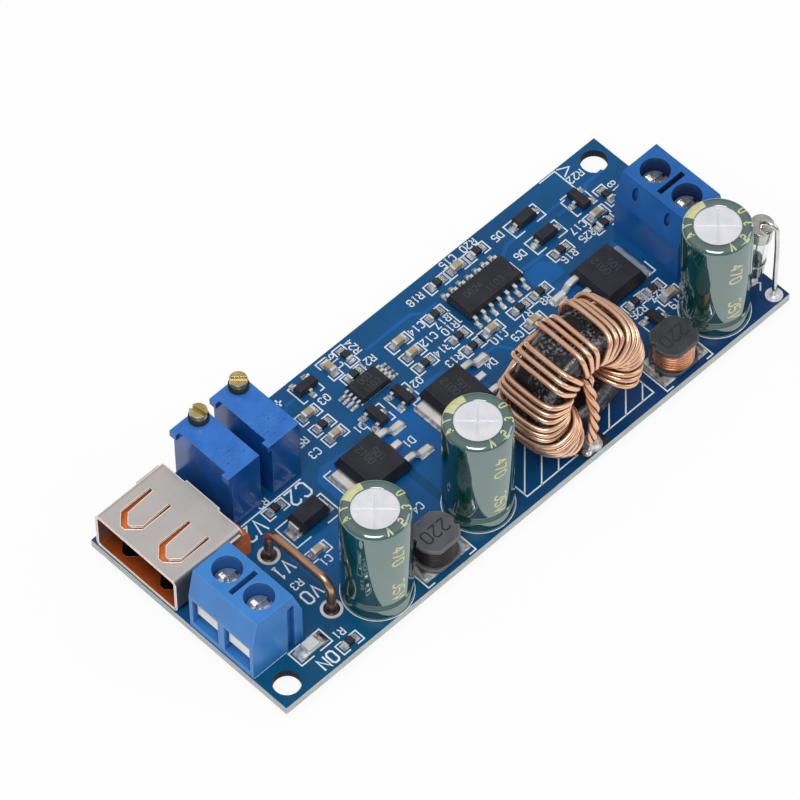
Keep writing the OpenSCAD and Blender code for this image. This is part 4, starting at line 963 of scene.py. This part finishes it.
# Brackets round parts: the node, half the length and width, and the gap
BRACKETS = (
    ("chip_resistors", 1.55, 0.75, 1.1),
    ("chip_capacitors", 1.55, 0.75, 1.1),
    ("signal_diode_bodies", 2.4, 1.1, 1.9),
    ("clamp_diode_body", 3.5, 1.75, 2.6),
    ("indicator_lamp", 2.35, 1.1, 0.9),
    ("output_choke_core", 3.7, 2.7, 5.4),
    ("input_choke_core", 3.7, 2.7, 5.4),
    ("transistor_bodies", 1.6, 1.35, 1.9),
    ("comparator_body", 5.0, 1.0, 9.4),
)


def is_turned(box):
    """Whether a chip lies across the board."""
    size = box[1] - box[0]
    return size.y > size.x


def ink_parts(bm):
    """Brackets and rings round the parts, from where the parts are."""
    for name, half_u, half_v, gap in BRACKETS:
        for box in solids(name):
            u, v = board_place(box)
            brackets(bm, u, v, half_u, half_v, gap, name.startswith("chip") and is_turned(box))
    for name, _ in CAPACITORS:
        u, v = board_place(mm_box(name + "_capacitor_sleeve"))
        ribbon(bm, arc(u, v, INK_RING, 0, 360, 48)[:-1], RING_LINE, on_board, closed=True)


def ink_toroid(bm):
    """A rectangle under the toroid, hatched at 45 degrees."""
    low_u, low_v, high_u, high_v = TOROID_FRAME
    corners = [(low_u, low_v), (high_u, low_v), (high_u, high_v), (low_u, high_v)]
    ribbon(bm, corners, INK_LINE, on_board, closed=True)
    height = high_v - low_v
    count = int((high_u - low_u + height) / HATCH_PITCH)
    for i in range(1, count + 1):
        first = low_u - height + i * HATCH_PITCH
        start = max(first, low_u)
        end = min(first + height, high_u)
        if end - start > HATCH_LEAST:
            line = [(start, low_v + start - first), (end, low_v + end - first)]
            ribbon(bm, line, INK_LINE, on_board)


def silkscreen():
    """All of the board's white ink."""
    bm = bmesh.new()
    ink_parts(bm)
    ink_toroid(bm)
    for labels, turn in ((LABELS, UPSIDE), (SIDE_LABELS, 90)):
        for words, u, v in labels:
            write(bm, words, u, v, LABEL_HIGH, on_board, turn)
    for words, u, v, high in LARGE_MARKS:
        write(bm, words, u, v, high, on_board, UPSIDE, LARGE_LINE)
    for line in INK_LINES:
        ribbon(bm, line, INK_LINE, on_board)
    piece("silkscreen", bm, INK)


POURS = (
    ((23.4, 6.6), (31.3, 6.6), (31.3, 20.0), (25.0, 20.6), (23.4, 19.4)),
    ((32.4, 7.4), (38.4, 7.4), (38.4, 12.9), (46.6, 12.9), (46.6, 19.0), (43.6, 20.6), (32.4, 20.6)),
    ((13.9, 7.6), (22.6, 7.6), (22.6, 14.3), (13.9, 14.3)),
    ((60.0, 20.3), (64.0, 20.3), (64.0, 22.4), (62.9, 23.5), (60.0, 23.5)),
    ((61.0, 13.4), (70.9, 13.4), (70.9, 19.6), (61.0, 19.6)),
    ((47.4, 12.9), (59.6, 12.9), (59.6, 16.4), (52.8, 16.4), (51.0, 15.0), (47.4, 15.0)),
)
TRACES = (
    ((60.4, 27.0), (62.0, 27.8), (71.0, 27.8)),
    ((60.2, 24.2), (61.6, 23.9), (64.0, 23.9)),
    ((69.0, 26.6), (73.4, 26.6), (74.6, 27.6), (77.4, 27.6)),
    ((40.0, 28.6), (47.0, 28.6), (48.4, 27.6), (50.4, 27.6)),
    ((24.0, 28.2), (27.0, 28.2), (28.2, 29.4), (29.8, 29.4)),
    ((47.6, 18.6), (51.0, 18.6), (52.2, 16.6)),
)


def pours():
    """Raised areas and tracks where copper lies under the mask."""
    bm = bmesh.new()
    for outline in POURS:
        plate(bm, outline, on_board, POUR_THICK)
    for line in TRACES:
        ribbon(bm, line, TRACE_WIDE, on_board, POUR_THICK)
    piece("copper_pours", bm, POUR)


def foot_of(box, bodies):
    """Where a lead's foot ends, which way it points and how wide it is."""
    low, high = box
    centre = (low + high) / 2
    size = high - low
    body_low, body_high = min(bodies, key=lambda b: ((b[0] + b[1]) / 2 - centre).length)
    gap = centre - (body_low + body_high) / 2
    body = body_high - body_low
    if abs(gap.x) / body.x > abs(gap.y) / body.y:
        way = Vector((copysign(1, gap.x), 0, 0))
        return Vector((centre.x + way.x * size.x / 2, centre.y, low.z)), way, size.y
    way = Vector((0, copysign(1, gap.y), 0))
    return Vector((centre.x, centre.y + way.y * size.y / 2, low.z)), way, size.x


def chip_solder():
    """Fillets at the ends of the chips."""
    bm = bmesh.new()
    chips = solids("chip_resistors") + solids("chip_capacitors")
    for low, high in solids("chip_ends"):
        foot, way, width = foot_of((low, high), chips)
        wedge(bm, foot, way, width, (high.z - low.z) * CHIP_CLIMB, CHIP_REACH)
    piece("chip_solder", bm, SOLDER)


# Solder at feet: the leads, their bodies, the share of the width, the height and the reach
FEET = (
    ("comparator_leads", "comparator_body", 1.25, 0.3, 0.4),
    ("controller_leads", "controller_body", 1.25, 0.25, 0.35),
    ("transistor_leads", "transistor_bodies", 1.5, 0.4, 0.4),
    ("signal_diode_leads", "signal_diode_bodies", 1.3, 0.4, 0.45),
    ("clamp_diode_ends", "clamp_diode_body", 0.95, 1.1, 0.7),
    *((name + "_frame", name + "_body", 1.0, 0.45, 0.45) for name in POWER_PARTS),
)


def foot_solder():
    """Solder that climbs the ends of the leads."""
    bm = bmesh.new()
    for leads, bodies, wide, height, reach in FEET:
        around = solids(bodies)
        for box in solids(leads):
            if box[0].z < board_high.z + FOOT_HIGHEST:
                foot, way, width = foot_of(box, around)
                wedge(bm, foot, way, width * wide, height, reach)
    cores = solids("output_choke_core") + solids("input_choke_core")
    for box in solids("choke_terminals"):
        foot, way, width = foot_of(box, cores)
        wedge(bm, foot, way, width * CHOKE_FOOT, 0.5, 0.4)
    piece("foot_solder", bm, SOLDER)


def power_frames():
    """The tabs and bent leads of the three power packages."""
    for name in POWER_PARTS:
        body_low, body_high = mm_box(name + "_body")
        middle = (body_low.x + body_high.x) / 2
        bm = bmesh.new()
        for low, high in solids(name + "_frame"):
            size = high - low
            if not LEAD_SHORTEST <= size.x <= LEAD_LONGEST:
                block(bm, low, high, TAB_EDGE)
                continue
            side = copysign(1, (low.x + high.x) / 2 - middle)
            start = Vector((low.x if side > 0 else high.x, (low.y + high.y) / 2, 0.0))
            top = high.z - LEAD_THICK / 2
            base = low.z + LEAD_THICK / 2
            corners = ((-0.2, top), (0.7, top), (1.15, top - 0.12), (1.5, (top + base) / 2),
                       (1.85, base + 0.12), (2.3, base), (size.x, base))
            points = [start + Vector((side * x, 0, z)) for x, z in corners]
            strip(bm, smooth_path(points, 5), Vector((0, side, 0)), size.y, LEAD_THICK)
        piece(name + "_leadframe", bm, TIN, sharp=40, replaces=(name + "_frame",))


def toroid_pad():
    """The bare pad by the toroid's front tail, with a drop of solder on it."""
    bm = bmesh.new()
    plate(bm, TOROID_PAD, on_board, PAD_THICK)
    piece("toroid_pad", bm, FLUX)
    drop = bmesh.new()
    turns = [radians(90 * i / DROP_STEPS) for i in range(DROP_STEPS)]
    dome = [(DROP_R * cos(a), PAD_THICK + DROP_HIGH * sin(a)) for a in turns]
    profile = [(0.0, 0.0)] + dome + [(0.0, PAD_THICK + DROP_HIGH)]
    lathe(drop, profile, upright(on_board(*DROP_AT)), segments=24)
    piece("toroid_drop", drop, SOLDER, sharp=60)


def cone(bm, u, v, lead, pad, height):
    """Solder drawn up round a lead."""
    profile = [(0.0, 0.0), (pad, 0.0), (pad * 0.97, 0.07), (lead + (pad - lead) * 0.55, 0.16),
               (lead + (pad - lead) * 0.2, 0.45 * height), (lead * 1.08, height), (0.0, height)]
    lathe(bm, profile, upright(on_board(u, v, POUR_THICK)), segments=28)


def ring_plate(bm, u, v, inner, outer):
    """A flat ring of bare pad."""
    profile = [(inner, 0.0), (outer, 0.0), (outer, PAD_THICK), (inner, PAD_THICK)]
    lathe(bm, profile, upright(on_board(u, v)), segments=36)


def lead_solder():
    """Rings and cones of solder where leads pass through the board."""
    rings = bmesh.new()
    browned = bmesh.new()
    low, high = mm_box("shunt_wire")
    u = (low.x + high.x) / 2 - board_low.x
    for v in (low.y + SHUNT_R - board_low.y, high.y - SHUNT_R - board_low.y):
        ring_plate(rings, u, v, *SHUNT_PAD)
        cone(browned, u, v, SHUNT_R, *SHUNT_CONE)
    for low, high in solids("fuse_leads"):
        if high.z < FUSE_MIDDLE:
            away = (high.x - low.x) / 2
            u = low.x - board_low.x + away
            v = high.y - board_low.y - away
        else:
            u = high.x - board_low.x - FUSE_WIRE
            v = low.y - board_low.y + FUSE_WIRE
        ring_plate(rings, u, v, *FUSE_PAD)
        cone(rings, u, v, FUSE_WIRE, *FUSE_CONE)
    piece("pad_rings", rings, PAD)
    piece("shunt_solder", browned, FLUX)


# Toroid

core_low, core_high = mm_box("toroid_core")
core_mid = (core_low + core_high) / 2
core_outer = (core_high.x - core_low.x) / 2
core_half = (core_high.y - core_low.y) / 2
rest_outer = core_outer + WIRE_GAP + STRAND / 2
rest_inner = CORE_BORE - WIRE_GAP - STRAND / 2
rest_face = core_half + WIRE_GAP + STRAND / 2
last_turn = len(TURN_OUTER) - 1
bends = [radians(a) for a in BEND_ANGLES]


def ring_point(angle, radius, y):
    """A place about the toroid's axis."""
    a = radians(angle)
    return Vector((radius * cos(a), y, radius * sin(a)))


def bore_r(turn):
    """How far from the axis a turn lies in the bore."""
    return rest_inner - (TURN_LAYER[turn] + TURN_DEEP[turn]) * LAYER_STEP


def bore_angle(strand, turn):
    """Where a strand of a turn lies in the bore."""
    return TURN_BORE[turn] + strand * degrees(BORE_STEP / bore_r(turn))


def back_level(strand, turn):
    """How far back a strand crosses to a turn."""
    layer = 0 if turn == 0 else 3 if TURN_LAYER[turn] > 0 else strand + 1
    return rest_face + layer * BACK_STEP


def front_arch(strand, turn):
    """Out of the bore, across the front in an arch, and on to the outside."""
    inner = bore_r(turn)
    outer = rest_outer + TURN_LIFT[turn]
    middle = (inner + outer) / 2
    half = (outer - inner) / 2
    deep = rest_face + TURN_LAYER[turn] * LAYER_STEP + TURN_SLACK[turn]
    first = bore_angle(strand, turn)
    last = TURN_OUTER[turn] + strand * STRAND_STEP
    power = 2 / TURN_SQUARE[turn]
    points = []
    for i in range(ARCH_STEPS + 1):
        part = i / ARCH_STEPS
        c = cos(pi * part)
        radius = middle - half * copysign(abs(c) ** power, c)
        y = -deep * max(0.0, sin(pi * part)) ** power
        points.append(ring_point(first + part * part * (3 - 2 * part) * (last - first), radius, y))
    return points


def over_ring(strand, turn, level):
    """Out of the bore at the front, over the outside, and down at the back."""
    points = front_arch(strand, turn)
    last = TURN_OUTER[turn] + strand * STRAND_STEP
    outer = rest_outer + TURN_LIFT[turn] * BACK_LIFT
    for a in bends:
        radius = outer - BEND_R + BEND_R * cos(a)
        points.append(ring_point(last, radius, level - BEND_R + BEND_R * sin(a)))
    return points


def into_bore(strand, turn):
    """Round the back edge and into the bore."""
    level = back_level(strand, turn)
    return [ring_point(bore_angle(strand, turn), bore_r(turn) + BEND_R - BEND_R * sin(a),
                       level - BEND_R + BEND_R * cos(a)) for a in bends]


def twist(angle):
    """How far a strand is off the middle of a tail."""
    a = radians(angle)
    return TAIL_TWIST * cos(a), TAIL_TWIST * sin(a)


def tail_point(strand, hole, high, phase, part):
    """A place along one of the twisted tails, from the board's hole up to where it opens."""
    low = -TAIL_LENGTH - core_mid.z
    z = low + part * (high[2] - low)
    off = twist(120 * strand + phase + 360 * (part - 1) * (high[2] - low) / TAIL_PITCH)
    lean = max(0.0, (z - high[2]) / (high[2] - low - TAIL_LENGTH - board_high.z - 1) + 1)
    out = max(0.0, 2 * lean - 1)
    x = hole[0] + lean * (high[0] - hole[0]) + off[0]
    y = hole[1] + out * (high[1] - hole[1]) - off[1]
    return Vector((x, y, z))


def strand_path(strand):
    """One of the three strands, from the back tail through all turns to the front tail."""
    front_high = (-0.4, 0.2 - core_half, 2.2)
    back_high = (-1.6, BACK_TAIL[1] - 0.1, -rest_inner * 1.85)
    points = [tail_point(strand, BACK_TAIL, back_high, BACK_PHASE, i / TAIL_STEPS)
              for i in range(TAIL_STEPS + 1)]
    points += into_bore(strand, 0)
    for turn in range(last_turn):
        points += over_ring(strand, turn, back_level(strand, turn + 1)) + into_bore(strand, turn + 1)
    last_level = rest_face + (4 if strand < 0 else 3) * BACK_STEP
    points += over_ring(strand, last_turn, last_level)
    off = twist(120 * strand + FRONT_PHASE)
    for y in (last_level, rest_face - 0.5, 0.0, front_high[1] - off[1]):
        points.append(Vector((front_high[0] + off[0], y, front_high[2] + off[1])))
    points += [tail_point(strand, FRONT_TAIL, front_high, FRONT_PHASE, i / TAIL_STEPS)
               for i in range(TAIL_STEPS - 1, -1, -1)]
    return [core_mid + p for p in points]


def winding():
    """Three strands of enamelled copper, laid side by side."""
    bm = bmesh.new()
    for strand in (-1, 0, 1):
        tube(bm, smooth_path(strand_path(strand), 3), STRAND / 2, sides=14)
    piece("winding_strands", bm, COPPER, sharp=60, replaces=("toroid_winding",))
    joint = bmesh.new()
    for tail in (FRONT_TAIL, BACK_TAIL):
        cone(joint, core_mid.x + tail[0] - board_low.x, core_mid.y + tail[1] - board_low.y, *TAIL_CONE)
    piece("winding_solder", joint, SOLDER)


def core_ring():
    """The toroid's core with well rounded edges."""
    profile = []
    corners = ((core_outer, core_half, 0), (CORE_BORE, core_half, 90), (CORE_BORE, -core_half, 180),
               (core_outer, -core_half, 270))
    for radius, y, start in corners:
        centre_r = radius - CORE_EDGE if radius == core_outer else radius + CORE_EDGE
        centre_y = y - copysign(CORE_EDGE, y)
        profile += arc(centre_r, centre_y, CORE_EDGE, start, 90, CORE_STEPS)

    def place(radius, angle, height):
        return core_mid + Vector((radius * cos(angle), height, radius * sin(angle)))

    bm = bmesh.new()
    lathe(bm, profile, place, segments=96)
    piece("core_ring", bm, CORE, sharp=60, replaces=("toroid_core",))


# Socket

def shell_rims(sheet, low, high):
    """Thin rolled rims along the shell's upper edges and its mouth."""
    whole = sheet.copy()
    bmesh.ops.remove_doubles(whole, verts=whole.verts, dist=0.001)
    rims = bmesh.new()
    for edge in whole.edges:
        first, second = (vert.co.copy() for vert in edge.verts)
        above = min(first.z, second.z) > high.z - RIM_DEEP
        mouth = max(first.x, second.x) < low.x + 0.01
        root = abs(first.x - second.x) < 0.05 and low.x + ROOT_FROM < first.x < high.x - ROOT_TO
        sharp = len(edge.link_faces) == 2 and edge.calc_face_angle() > RIM_SHARP
        if sharp and (above or mouth) and not root:
            tube(rims, [first, second], RIM_WIRE, sides=8)
    whole.free()
    return rims


def shell():
    """The USB shell with its side lugs pressed flat and its rims."""
    low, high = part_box("usb_shell")
    sheet = bmesh.new()
    sheet.from_mesh(nodes["usb_shell"].data)
    walls = (low.y + SHELL_LUG * MM, high.y - SHELL_LUG * MM)
    for vert in sheet.verts:
        vert.co.y = min(max(vert.co.y, walls[0] - LUG_LEFT * MM), walls[1] + LUG_LEFT * MM)
    bmesh.ops.scale(sheet, vec=Vector((1, 1, 1)) / MM, verts=sheet.verts)
    rims = shell_rims(sheet, low / MM, high / MM)
    piece("usb_shell_sheet", sheet, STEEL, sharp=35, replaces=("usb_shell",))
    piece("usb_shell_rims", rims, RIM_SHEEN, sharp=60)


def moulding():
    """The orange plastic, with its foot cut short behind the shell."""
    body = bmesh.new()
    body.from_mesh(nodes["usb_insulator"].data)
    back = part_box("usb_shell")[1].x + FOOT_BEHIND * MM
    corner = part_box("usb_insulator")[0].y + FOOT_SHOWN * MM
    geometry = body.verts[:] + body.edges[:] + body.faces[:]
    bmesh.ops.bisect_plane(body, geom=geometry, plane_co=(0, corner, 0), plane_no=(0, 1, 0))
    for vert in body.verts:
        if vert.co.y > corner + 0.01 * MM:
            vert.co.x = min(vert.co.x, back)
    bmesh.ops.scale(body, vec=Vector((1, 1, 1)) / MM, verts=body.verts)
    piece("usb_moulding", body, ORANGE, sharp=35, replaces=("usb_insulator",))


# Capacitors, chokes, fuse and lamp

def sleeve_profile(radius, height):
    """The sleeve's section: crimp, wall, rounded shoulder, lip round the bare disc, and back inside."""
    outer = [(radius, 0.0)]
    for i in range(CRIMP_STEPS + 1):
        part = i / CRIMP_STEPS
        z = CRIMP_AT - CRIMP_HALF + 2 * CRIMP_HALF * part
        outer.append((radius - CRIMP_DEEP * sin(pi * part) ** 2, z))
    outer += arc(radius - SLEEVE_ROUND, height - SLEEVE_ROUND, SLEEVE_ROUND, 0, 90, ROUND_STEPS)
    outer.append((BARE_DISC + LIP_WIDE, height))
    outer.append((BARE_DISC, height - LIP_DEEP))
    inner = [(r - SLEEVE_WALL, min(z, height - SLEEVE_WALL)) for r, z in outer[:-2]]
    inner.append((BARE_DISC, height - SLEEVE_WALL))
    return outer + inner[::-1]


def shoulder_point(radius, height, along, lift):
    """A place on the sleeve's section, counted outwards from the bare disc, over the shoulder and down."""
    flat = radius - SLEEVE_ROUND - BARE_DISC
    bend = SLEEVE_ROUND * pi / 2
    if along < flat:
        return BARE_DISC + along, height + lift
    if along < flat + bend:
        a = (along - flat) / SLEEVE_ROUND
        reach = SLEEVE_ROUND + lift
        return radius - SLEEVE_ROUND + reach * sin(a), height - SLEEVE_ROUND + reach * cos(a)
    return radius + lift, height - SLEEVE_ROUND - (along - flat - bend)


def sleeve_print(bm, centre, radius, height, turn):
    """Cream print: a stripe at the back, marks round the shoulder and on the side."""
    def on_shoulder(u, v, lift):
        r, z = shoulder_point(radius, height, v, lift)
        return centre + Vector((r * cos(u / radius), r * sin(u / radius), z))

    def on_side(u, v, lift):
        a = radians(turn) + u / radius
        reach = radius + lift
        return centre + Vector((reach * cos(a), reach * sin(a), v))

    bend = SLEEVE_ROUND * pi / 2
    foot = radius - SLEEVE_ROUND - BARE_DISC + bend + height - SLEEVE_ROUND - STRIPE_FOOT
    wide = radians(STRIPE_WIDE) * radius / STRIPE_COLUMNS
    for i in range(STRIPE_COLUMNS):
        u = radians(STRIPE_AT - STRIPE_WIDE / 2) * radius + (i + 0.5) * wide
        line = cut_short([(u, STRIPE_TOP), (u, STRIPE_BEND)], SHOULDER_CUT) + [(u, foot)]
        ribbon(bm, line, wide, on_shoulder, PRINT_THICK)
    for letter, at_angle in zip("".join(SLEEVE_WORDS), RING_ANGLES):
        u = radians(at_angle) * radius
        write(bm, letter, u, SHOULDER_AT, SHOULDER_HIGH, on_shoulder, 0,
              SHOULDER_LINE, PRINT_THICK, SHOULDER_CUT)
    for words, z in zip(SLEEVE_WORDS, SIDE_AT):
        write(bm, words, 0.0, height * z, SIDE_HIGH, on_side, -90, SIDE_LINE, PRINT_THICK, SIDE_CUT)


def capacitors():
    """The three green sleeves with their print."""
    for name, turn in CAPACITORS:
        node = name + "_capacitor_sleeve"
        low, high = mm_box(node)
        centre = centre_at((low, high), low.z)
        radius = (high.x - low.x) / 2
        height = high.z - low.z
        bm = bmesh.new()
        lathe(bm, sleeve_profile(radius, height), upright(centre), segments=72)
        piece(name + "_sleeve", bm, SLEEVE, sharp=40, replaces=(node,))
        bm = bmesh.new()
        sleeve_print(bm, centre, radius, height, turn)
        piece(name + "_sleeve_print", bm, CREAM)


def choke_outline(radius):
    """A round flange with two flats and a notch at each end."""
    points = []
    for angle in range(0, 360, 3):
        a = radians(angle)
        r = min(radius, CHOKE_FLAT / max(abs(sin(a)), 0.01))
        off = abs((angle + CHOKE_TURN + 90) % 180 - 90) / NOTCH_HALF
        if off < 1:
            r -= CHOKE_NOTCH * sqrt(1 - off * off)
        points.append((r * cos(a), r * sin(a)))
    return points


def coil_profile(height):
    """The section of a choke's winding, one half round for each turn."""
    wire = (height - 2 * CHOKE_FLANGE) / CHOKE_TURNS
    profile = [(CHOKE_COIL - wire, CHOKE_FLANGE)]
    for k in range(CHOKE_TURNS):
        profile += arc(CHOKE_COIL - wire / 2, CHOKE_FLANGE + wire * (k + 0.5), wire / 2, -90, 180, 6)
    return profile + [(CHOKE_COIL - wire, height - CHOKE_FLANGE)]


def chokes():
    """The chokes: a drum of ferrite and the winding on it, turn by turn."""
    # the output choke's coil takes the copper's painted shade copy
    for name, drum, copper in (("output", FERRITE, SHADED_COIL), ("input", FERRITE_DARK, COIL)):
        low, high = mm_box(name + "_choke_core")
        centre = centre_at((low, high), low.z)
        height = high.z - low.z
        outline = choke_outline((high.x - low.x) / 2)
        bm = bmesh.new()
        slab(bm, centre, outline, 0.0, CHOKE_FLANGE, 0.1)
        slab(bm, centre, outline, height - CHOKE_FLANGE, height, 0.12)
        piece(name + "_choke_drum", bm, drum, sharp=40, replaces=(name + "_choke_core",))
        bm = bmesh.new()
        lathe(bm, coil_profile(height), upright(centre), segments=48)
        piece(name + "_choke_coil", bm, copper, sharp=60, replaces=(name + "_choke_winding",))


def fuse_wires():
    """The fuse's two leads, bent smoothly."""
    lower, upper = sorted(solids("fuse_leads"), key=lambda box: box[1].z)
    foot = Vector((lower[0].x + (lower[1].x - lower[0].x) / 2, lower[1].y - FUSE_WIRE, board_high.z))
    lean = Vector((0, -sin(FUSE_LEAN), cos(FUSE_LEAN)))
    crown = foot + lean * FUSE_HIGH
    bottom = Vector((0, 0, lower[0].z - board_high.z))
    end = Vector((upper[1].x - FUSE_WIRE, upper[0].y + FUSE_WIRE, upper[0].z))
    top = upper[1].z - FUSE_WIRE
    bm = bmesh.new()
    first = [foot + bottom, foot + Vector((0, 0, 0.2)), foot + lean * 0.9, foot + lean * 2.75]
    tube(bm, smooth_path(first, 6), FUSE_WIRE, sides=16)
    second = [crown - lean * 0.1, crown + lean * 0.35, crown + lean * 0.7 + Vector((0.03, -0.2, 0)),
              Vector((crown.x + (end.x - crown.x) * 0.5, (crown.y + end.y) / 2, top)),
              Vector((end.x, end.y + 0.12, top - 0.55)), Vector((end.x, end.y, top - 1.4)),
              Vector((end.x, end.y, 4.0)), end]
    tube(bm, smooth_path(second, 8), FUSE_WIRE, sides=16)
    piece("fuse_wires", bm, WIRE, sharp=60, replaces=("fuse_leads",))


def lamp():
    """The indicator: a moulded lens on a pale base, with solder drawn up at both ends."""
    low, high = mm_box("indicator_lamp")
    base_top = low.z + 0.4 * (high.z - low.z)
    body = bmesh.new()
    for x, y, foot, top, edge, steps in ((LAMP_END, 0.05, low.z, base_top, 0.04, 2),
                                         (0.75, 0.1, base_top, high.z, 0.2, 4)):
        block(body, Vector((low.x + x, low.y + y, foot)), Vector((high.x - x, high.y - y, top)), edge, steps)
    piece("lamp_body", body, LAMP, sharp=40, replaces=("indicator_lamp",))
    ends = bmesh.new()
    middle = (low.y + high.y) / 2
    for end, way in ((low.x, -1), (high.x, 1)):
        inner = end - way * LAMP_END
        corners = sorted((end, inner))
        block(ends, Vector((corners[0], low.y, low.z)), Vector((corners[1], high.y, base_top)), 0.06)
        wedge(ends, Vector((inner, middle, base_top - 0.1)), Vector((way, 0, 0)), 1.2, 0.35, 0.55)
        wedge(ends, Vector((end, middle, low.z)), Vector((way, 0, 0)), 1.4, 0.4, 0.5)
    piece("lamp_ends", ends, SOLDER_PAINTED_GLINTS)


# Marks on parts

# Codes on mouldings: the node, the digits, their place and height, the turn and the line
CODES = (
    *((name + "_body", "0012", -0.3, 0.9, 0.85, 90, 0.1) for name in POWER_PARTS),
    *((name + "_body", "105", 0.9, 0.0, 0.85, 90, 0.1) for name in POWER_PARTS),
    ("comparator_body", "0024", -1.6, 0.35, 0.8, 0, 0.09),
    ("comparator_body", "1103", 0.8, -0.75, 0.8, 0, 0.09),
    ("controller_body", "003", 0.0, 0.6, 0.75, 0, 0.09),
    ("controller_body", "1103", 0.0, -0.6, 0.75, 0, 0.09),
)


def on_top_of(box):
    """Places flat marks on a part's top face, about its middle."""
    middle = centre_at(box, box[1].z)

    def at(u, v, lift):
        return middle + Vector((u, v, lift))
    return at


def part_marks():
    """Generic value codes on the mouldings, chips and trimmer lids."""
    bm = bmesh.new()
    for box in solids("chip_resistors"):
        turn = 90 if is_turned(box) else 0
        write(bm, "103", 0.0, 0.0, CHIP_CODE_HIGH, on_top_of(box), turn, CHIP_CODE_LINE, CODE_THICK)
    for name, words, u, v, high, turn, width in CODES:
        write(bm, words, u, v, high, on_top_of(mm_box(name)), turn, width, CODE_THICK)
    piece("part_codes", bm, CODE)
    digits = bmesh.new()
    for name in ("output_choke_core", "input_choke_core"):
        at = on_top_of(mm_box(name))
        write(digits, "220", 0.0, 0.0, CHOKE_CODE_HIGH, at, UPSIDE, CHOKE_CODE_LINE, CODE_THICK)
    piece("choke_codes", digits, DARK_CODE)
    lids = bmesh.new()
    for name in ("voltage_trimmer_case", "current_trimmer_case"):
        at = on_top_of(mm_box(name))
        for row, words in enumerate(("103", "0012", "103")):
            write(lids, words, LID_U - LID_STEP * row, LID_V, LID_HIGH, at, 90, LID_LINE, LID_THICK)
    piece("trimmer_marks", lids, TRIMMER)


# Stage, light and camera

def floor():
    """A wide white floor that keeps the shadow."""
    mesh = bpy.data.meshes.new("floor")
    signs = ((-1, -1), (1, -1), (1, 1), (-1, 1))
    mesh.from_pydata([(x * FLOOR_REACH, y * FLOOR_REACH, cad_low.z) for x, y in signs], [], [(0, 1, 2, 3)])
    material = bpy.data.materials.new("floor_white")
    material.use_nodes = True
    tree = material.node_tree
    tree.nodes.clear()
    matt = add_node(tree, "BsdfDiffuse", {"Color": (FLOOR_GREY, FLOOR_GREY, FLOOR_GREY, 1.0)})
    glow = add_node(tree, "Emission", {"Strength": 1.0})
    rays = add_node(tree, "LightPath").outputs
    seen = reckon(tree, "MAXIMUM", *(rays[f"Is {kind} Ray"] for kind in ("Camera", "Glossy", "Transmission")))
    share = reckon(tree, "MULTIPLY", seen, FLOOR_GLOW)
    mixed = add_node(tree, "MixShader", {0: share, 1: matt.outputs[0], 2: glow.outputs[0]})
    add_node(tree, "OutputMaterial", {"Surface": mixed.outputs[0]})
    mesh.materials.append(material)
    made = bpy.data.objects.new("floor", mesh)
    bpy.context.scene.collection.objects.link(made)


def world():
    """Soft grey light all round, brighter overhead."""
    made = bpy.data.worlds.new("studio")
    made.use_nodes = True
    bpy.context.scene.world = made
    tree = made.node_tree
    height = axis(tree, add_node(tree, "TexCoord").outputs["Generated"], "Z")
    level = spread(tree, height, 0.0, 1.0, WORLD_LOW, WORLD_HIGH)
    feed(tree, tree.nodes["Background"], {"Color": (1.0, 1.0, 1.0, 1.0), "Strength": level})


def lamp_panel(name, place, size, power):
    """A square panel of soft light that looks at the object."""
    data = bpy.data.lights.new(name, "AREA")
    data.size = size
    data.energy = power
    made = bpy.data.objects.new(name, data)
    made.location = place
    made.rotation_euler = (-Vector(place)).to_track_quat("-Z", "Y").to_euler()
    bpy.context.scene.collection.objects.link(made)


def camera():
    """The camera at the photograph's angle."""
    a = radians(CAMERA_AZIMUTH)
    e = radians(CAMERA_ELEVATION)
    r = radians(CAMERA_ROLL)
    back = Vector((sin(a) * cos(e), -cos(a) * cos(e), sin(e)))
    right = Vector((cos(a), sin(a), 0.0))
    up = back.cross(right)
    turned_right = right * cos(r) + up * sin(r)
    turned_up = up * cos(r) - right * sin(r)
    data = bpy.data.cameras.new("camera")
    data.sensor_fit = "HORIZONTAL"
    data.sensor_width = SENSOR
    data.lens = FOCAL_PX / IMAGE * SENSOR
    data.clip_start = CAMERA_NEAR
    data.clip_end = CAMERA_FAR
    made = bpy.data.objects.new("camera", data)
    place = (Vector(CAMERA_TARGET) + back * CAMERA_DISTANCE) * MM
    turn = Matrix((turned_right, turned_up, back)).transposed()
    made.matrix_world = Matrix.Translation(place) @ turn.to_4x4()
    bpy.context.scene.collection.objects.link(made)
    bpy.context.scene.camera = made


dress_nodes()
pours()
silkscreen()
chip_solder()
foot_solder()
lead_solder()
power_frames()
shell()
moulding()
core_ring()
winding()
toroid_pad()
capacitors()
chokes()
fuse_wires()
lamp()
part_marks()
floor()
world()
lamp_panel("key", KEY_AT, KEY_SIZE, KEY_POWER)
lamp_panel("fill", FILL_AT, FILL_SIZE, FILL_POWER)
camera()
bpy.context.scene.view_settings.view_transform = "Standard"
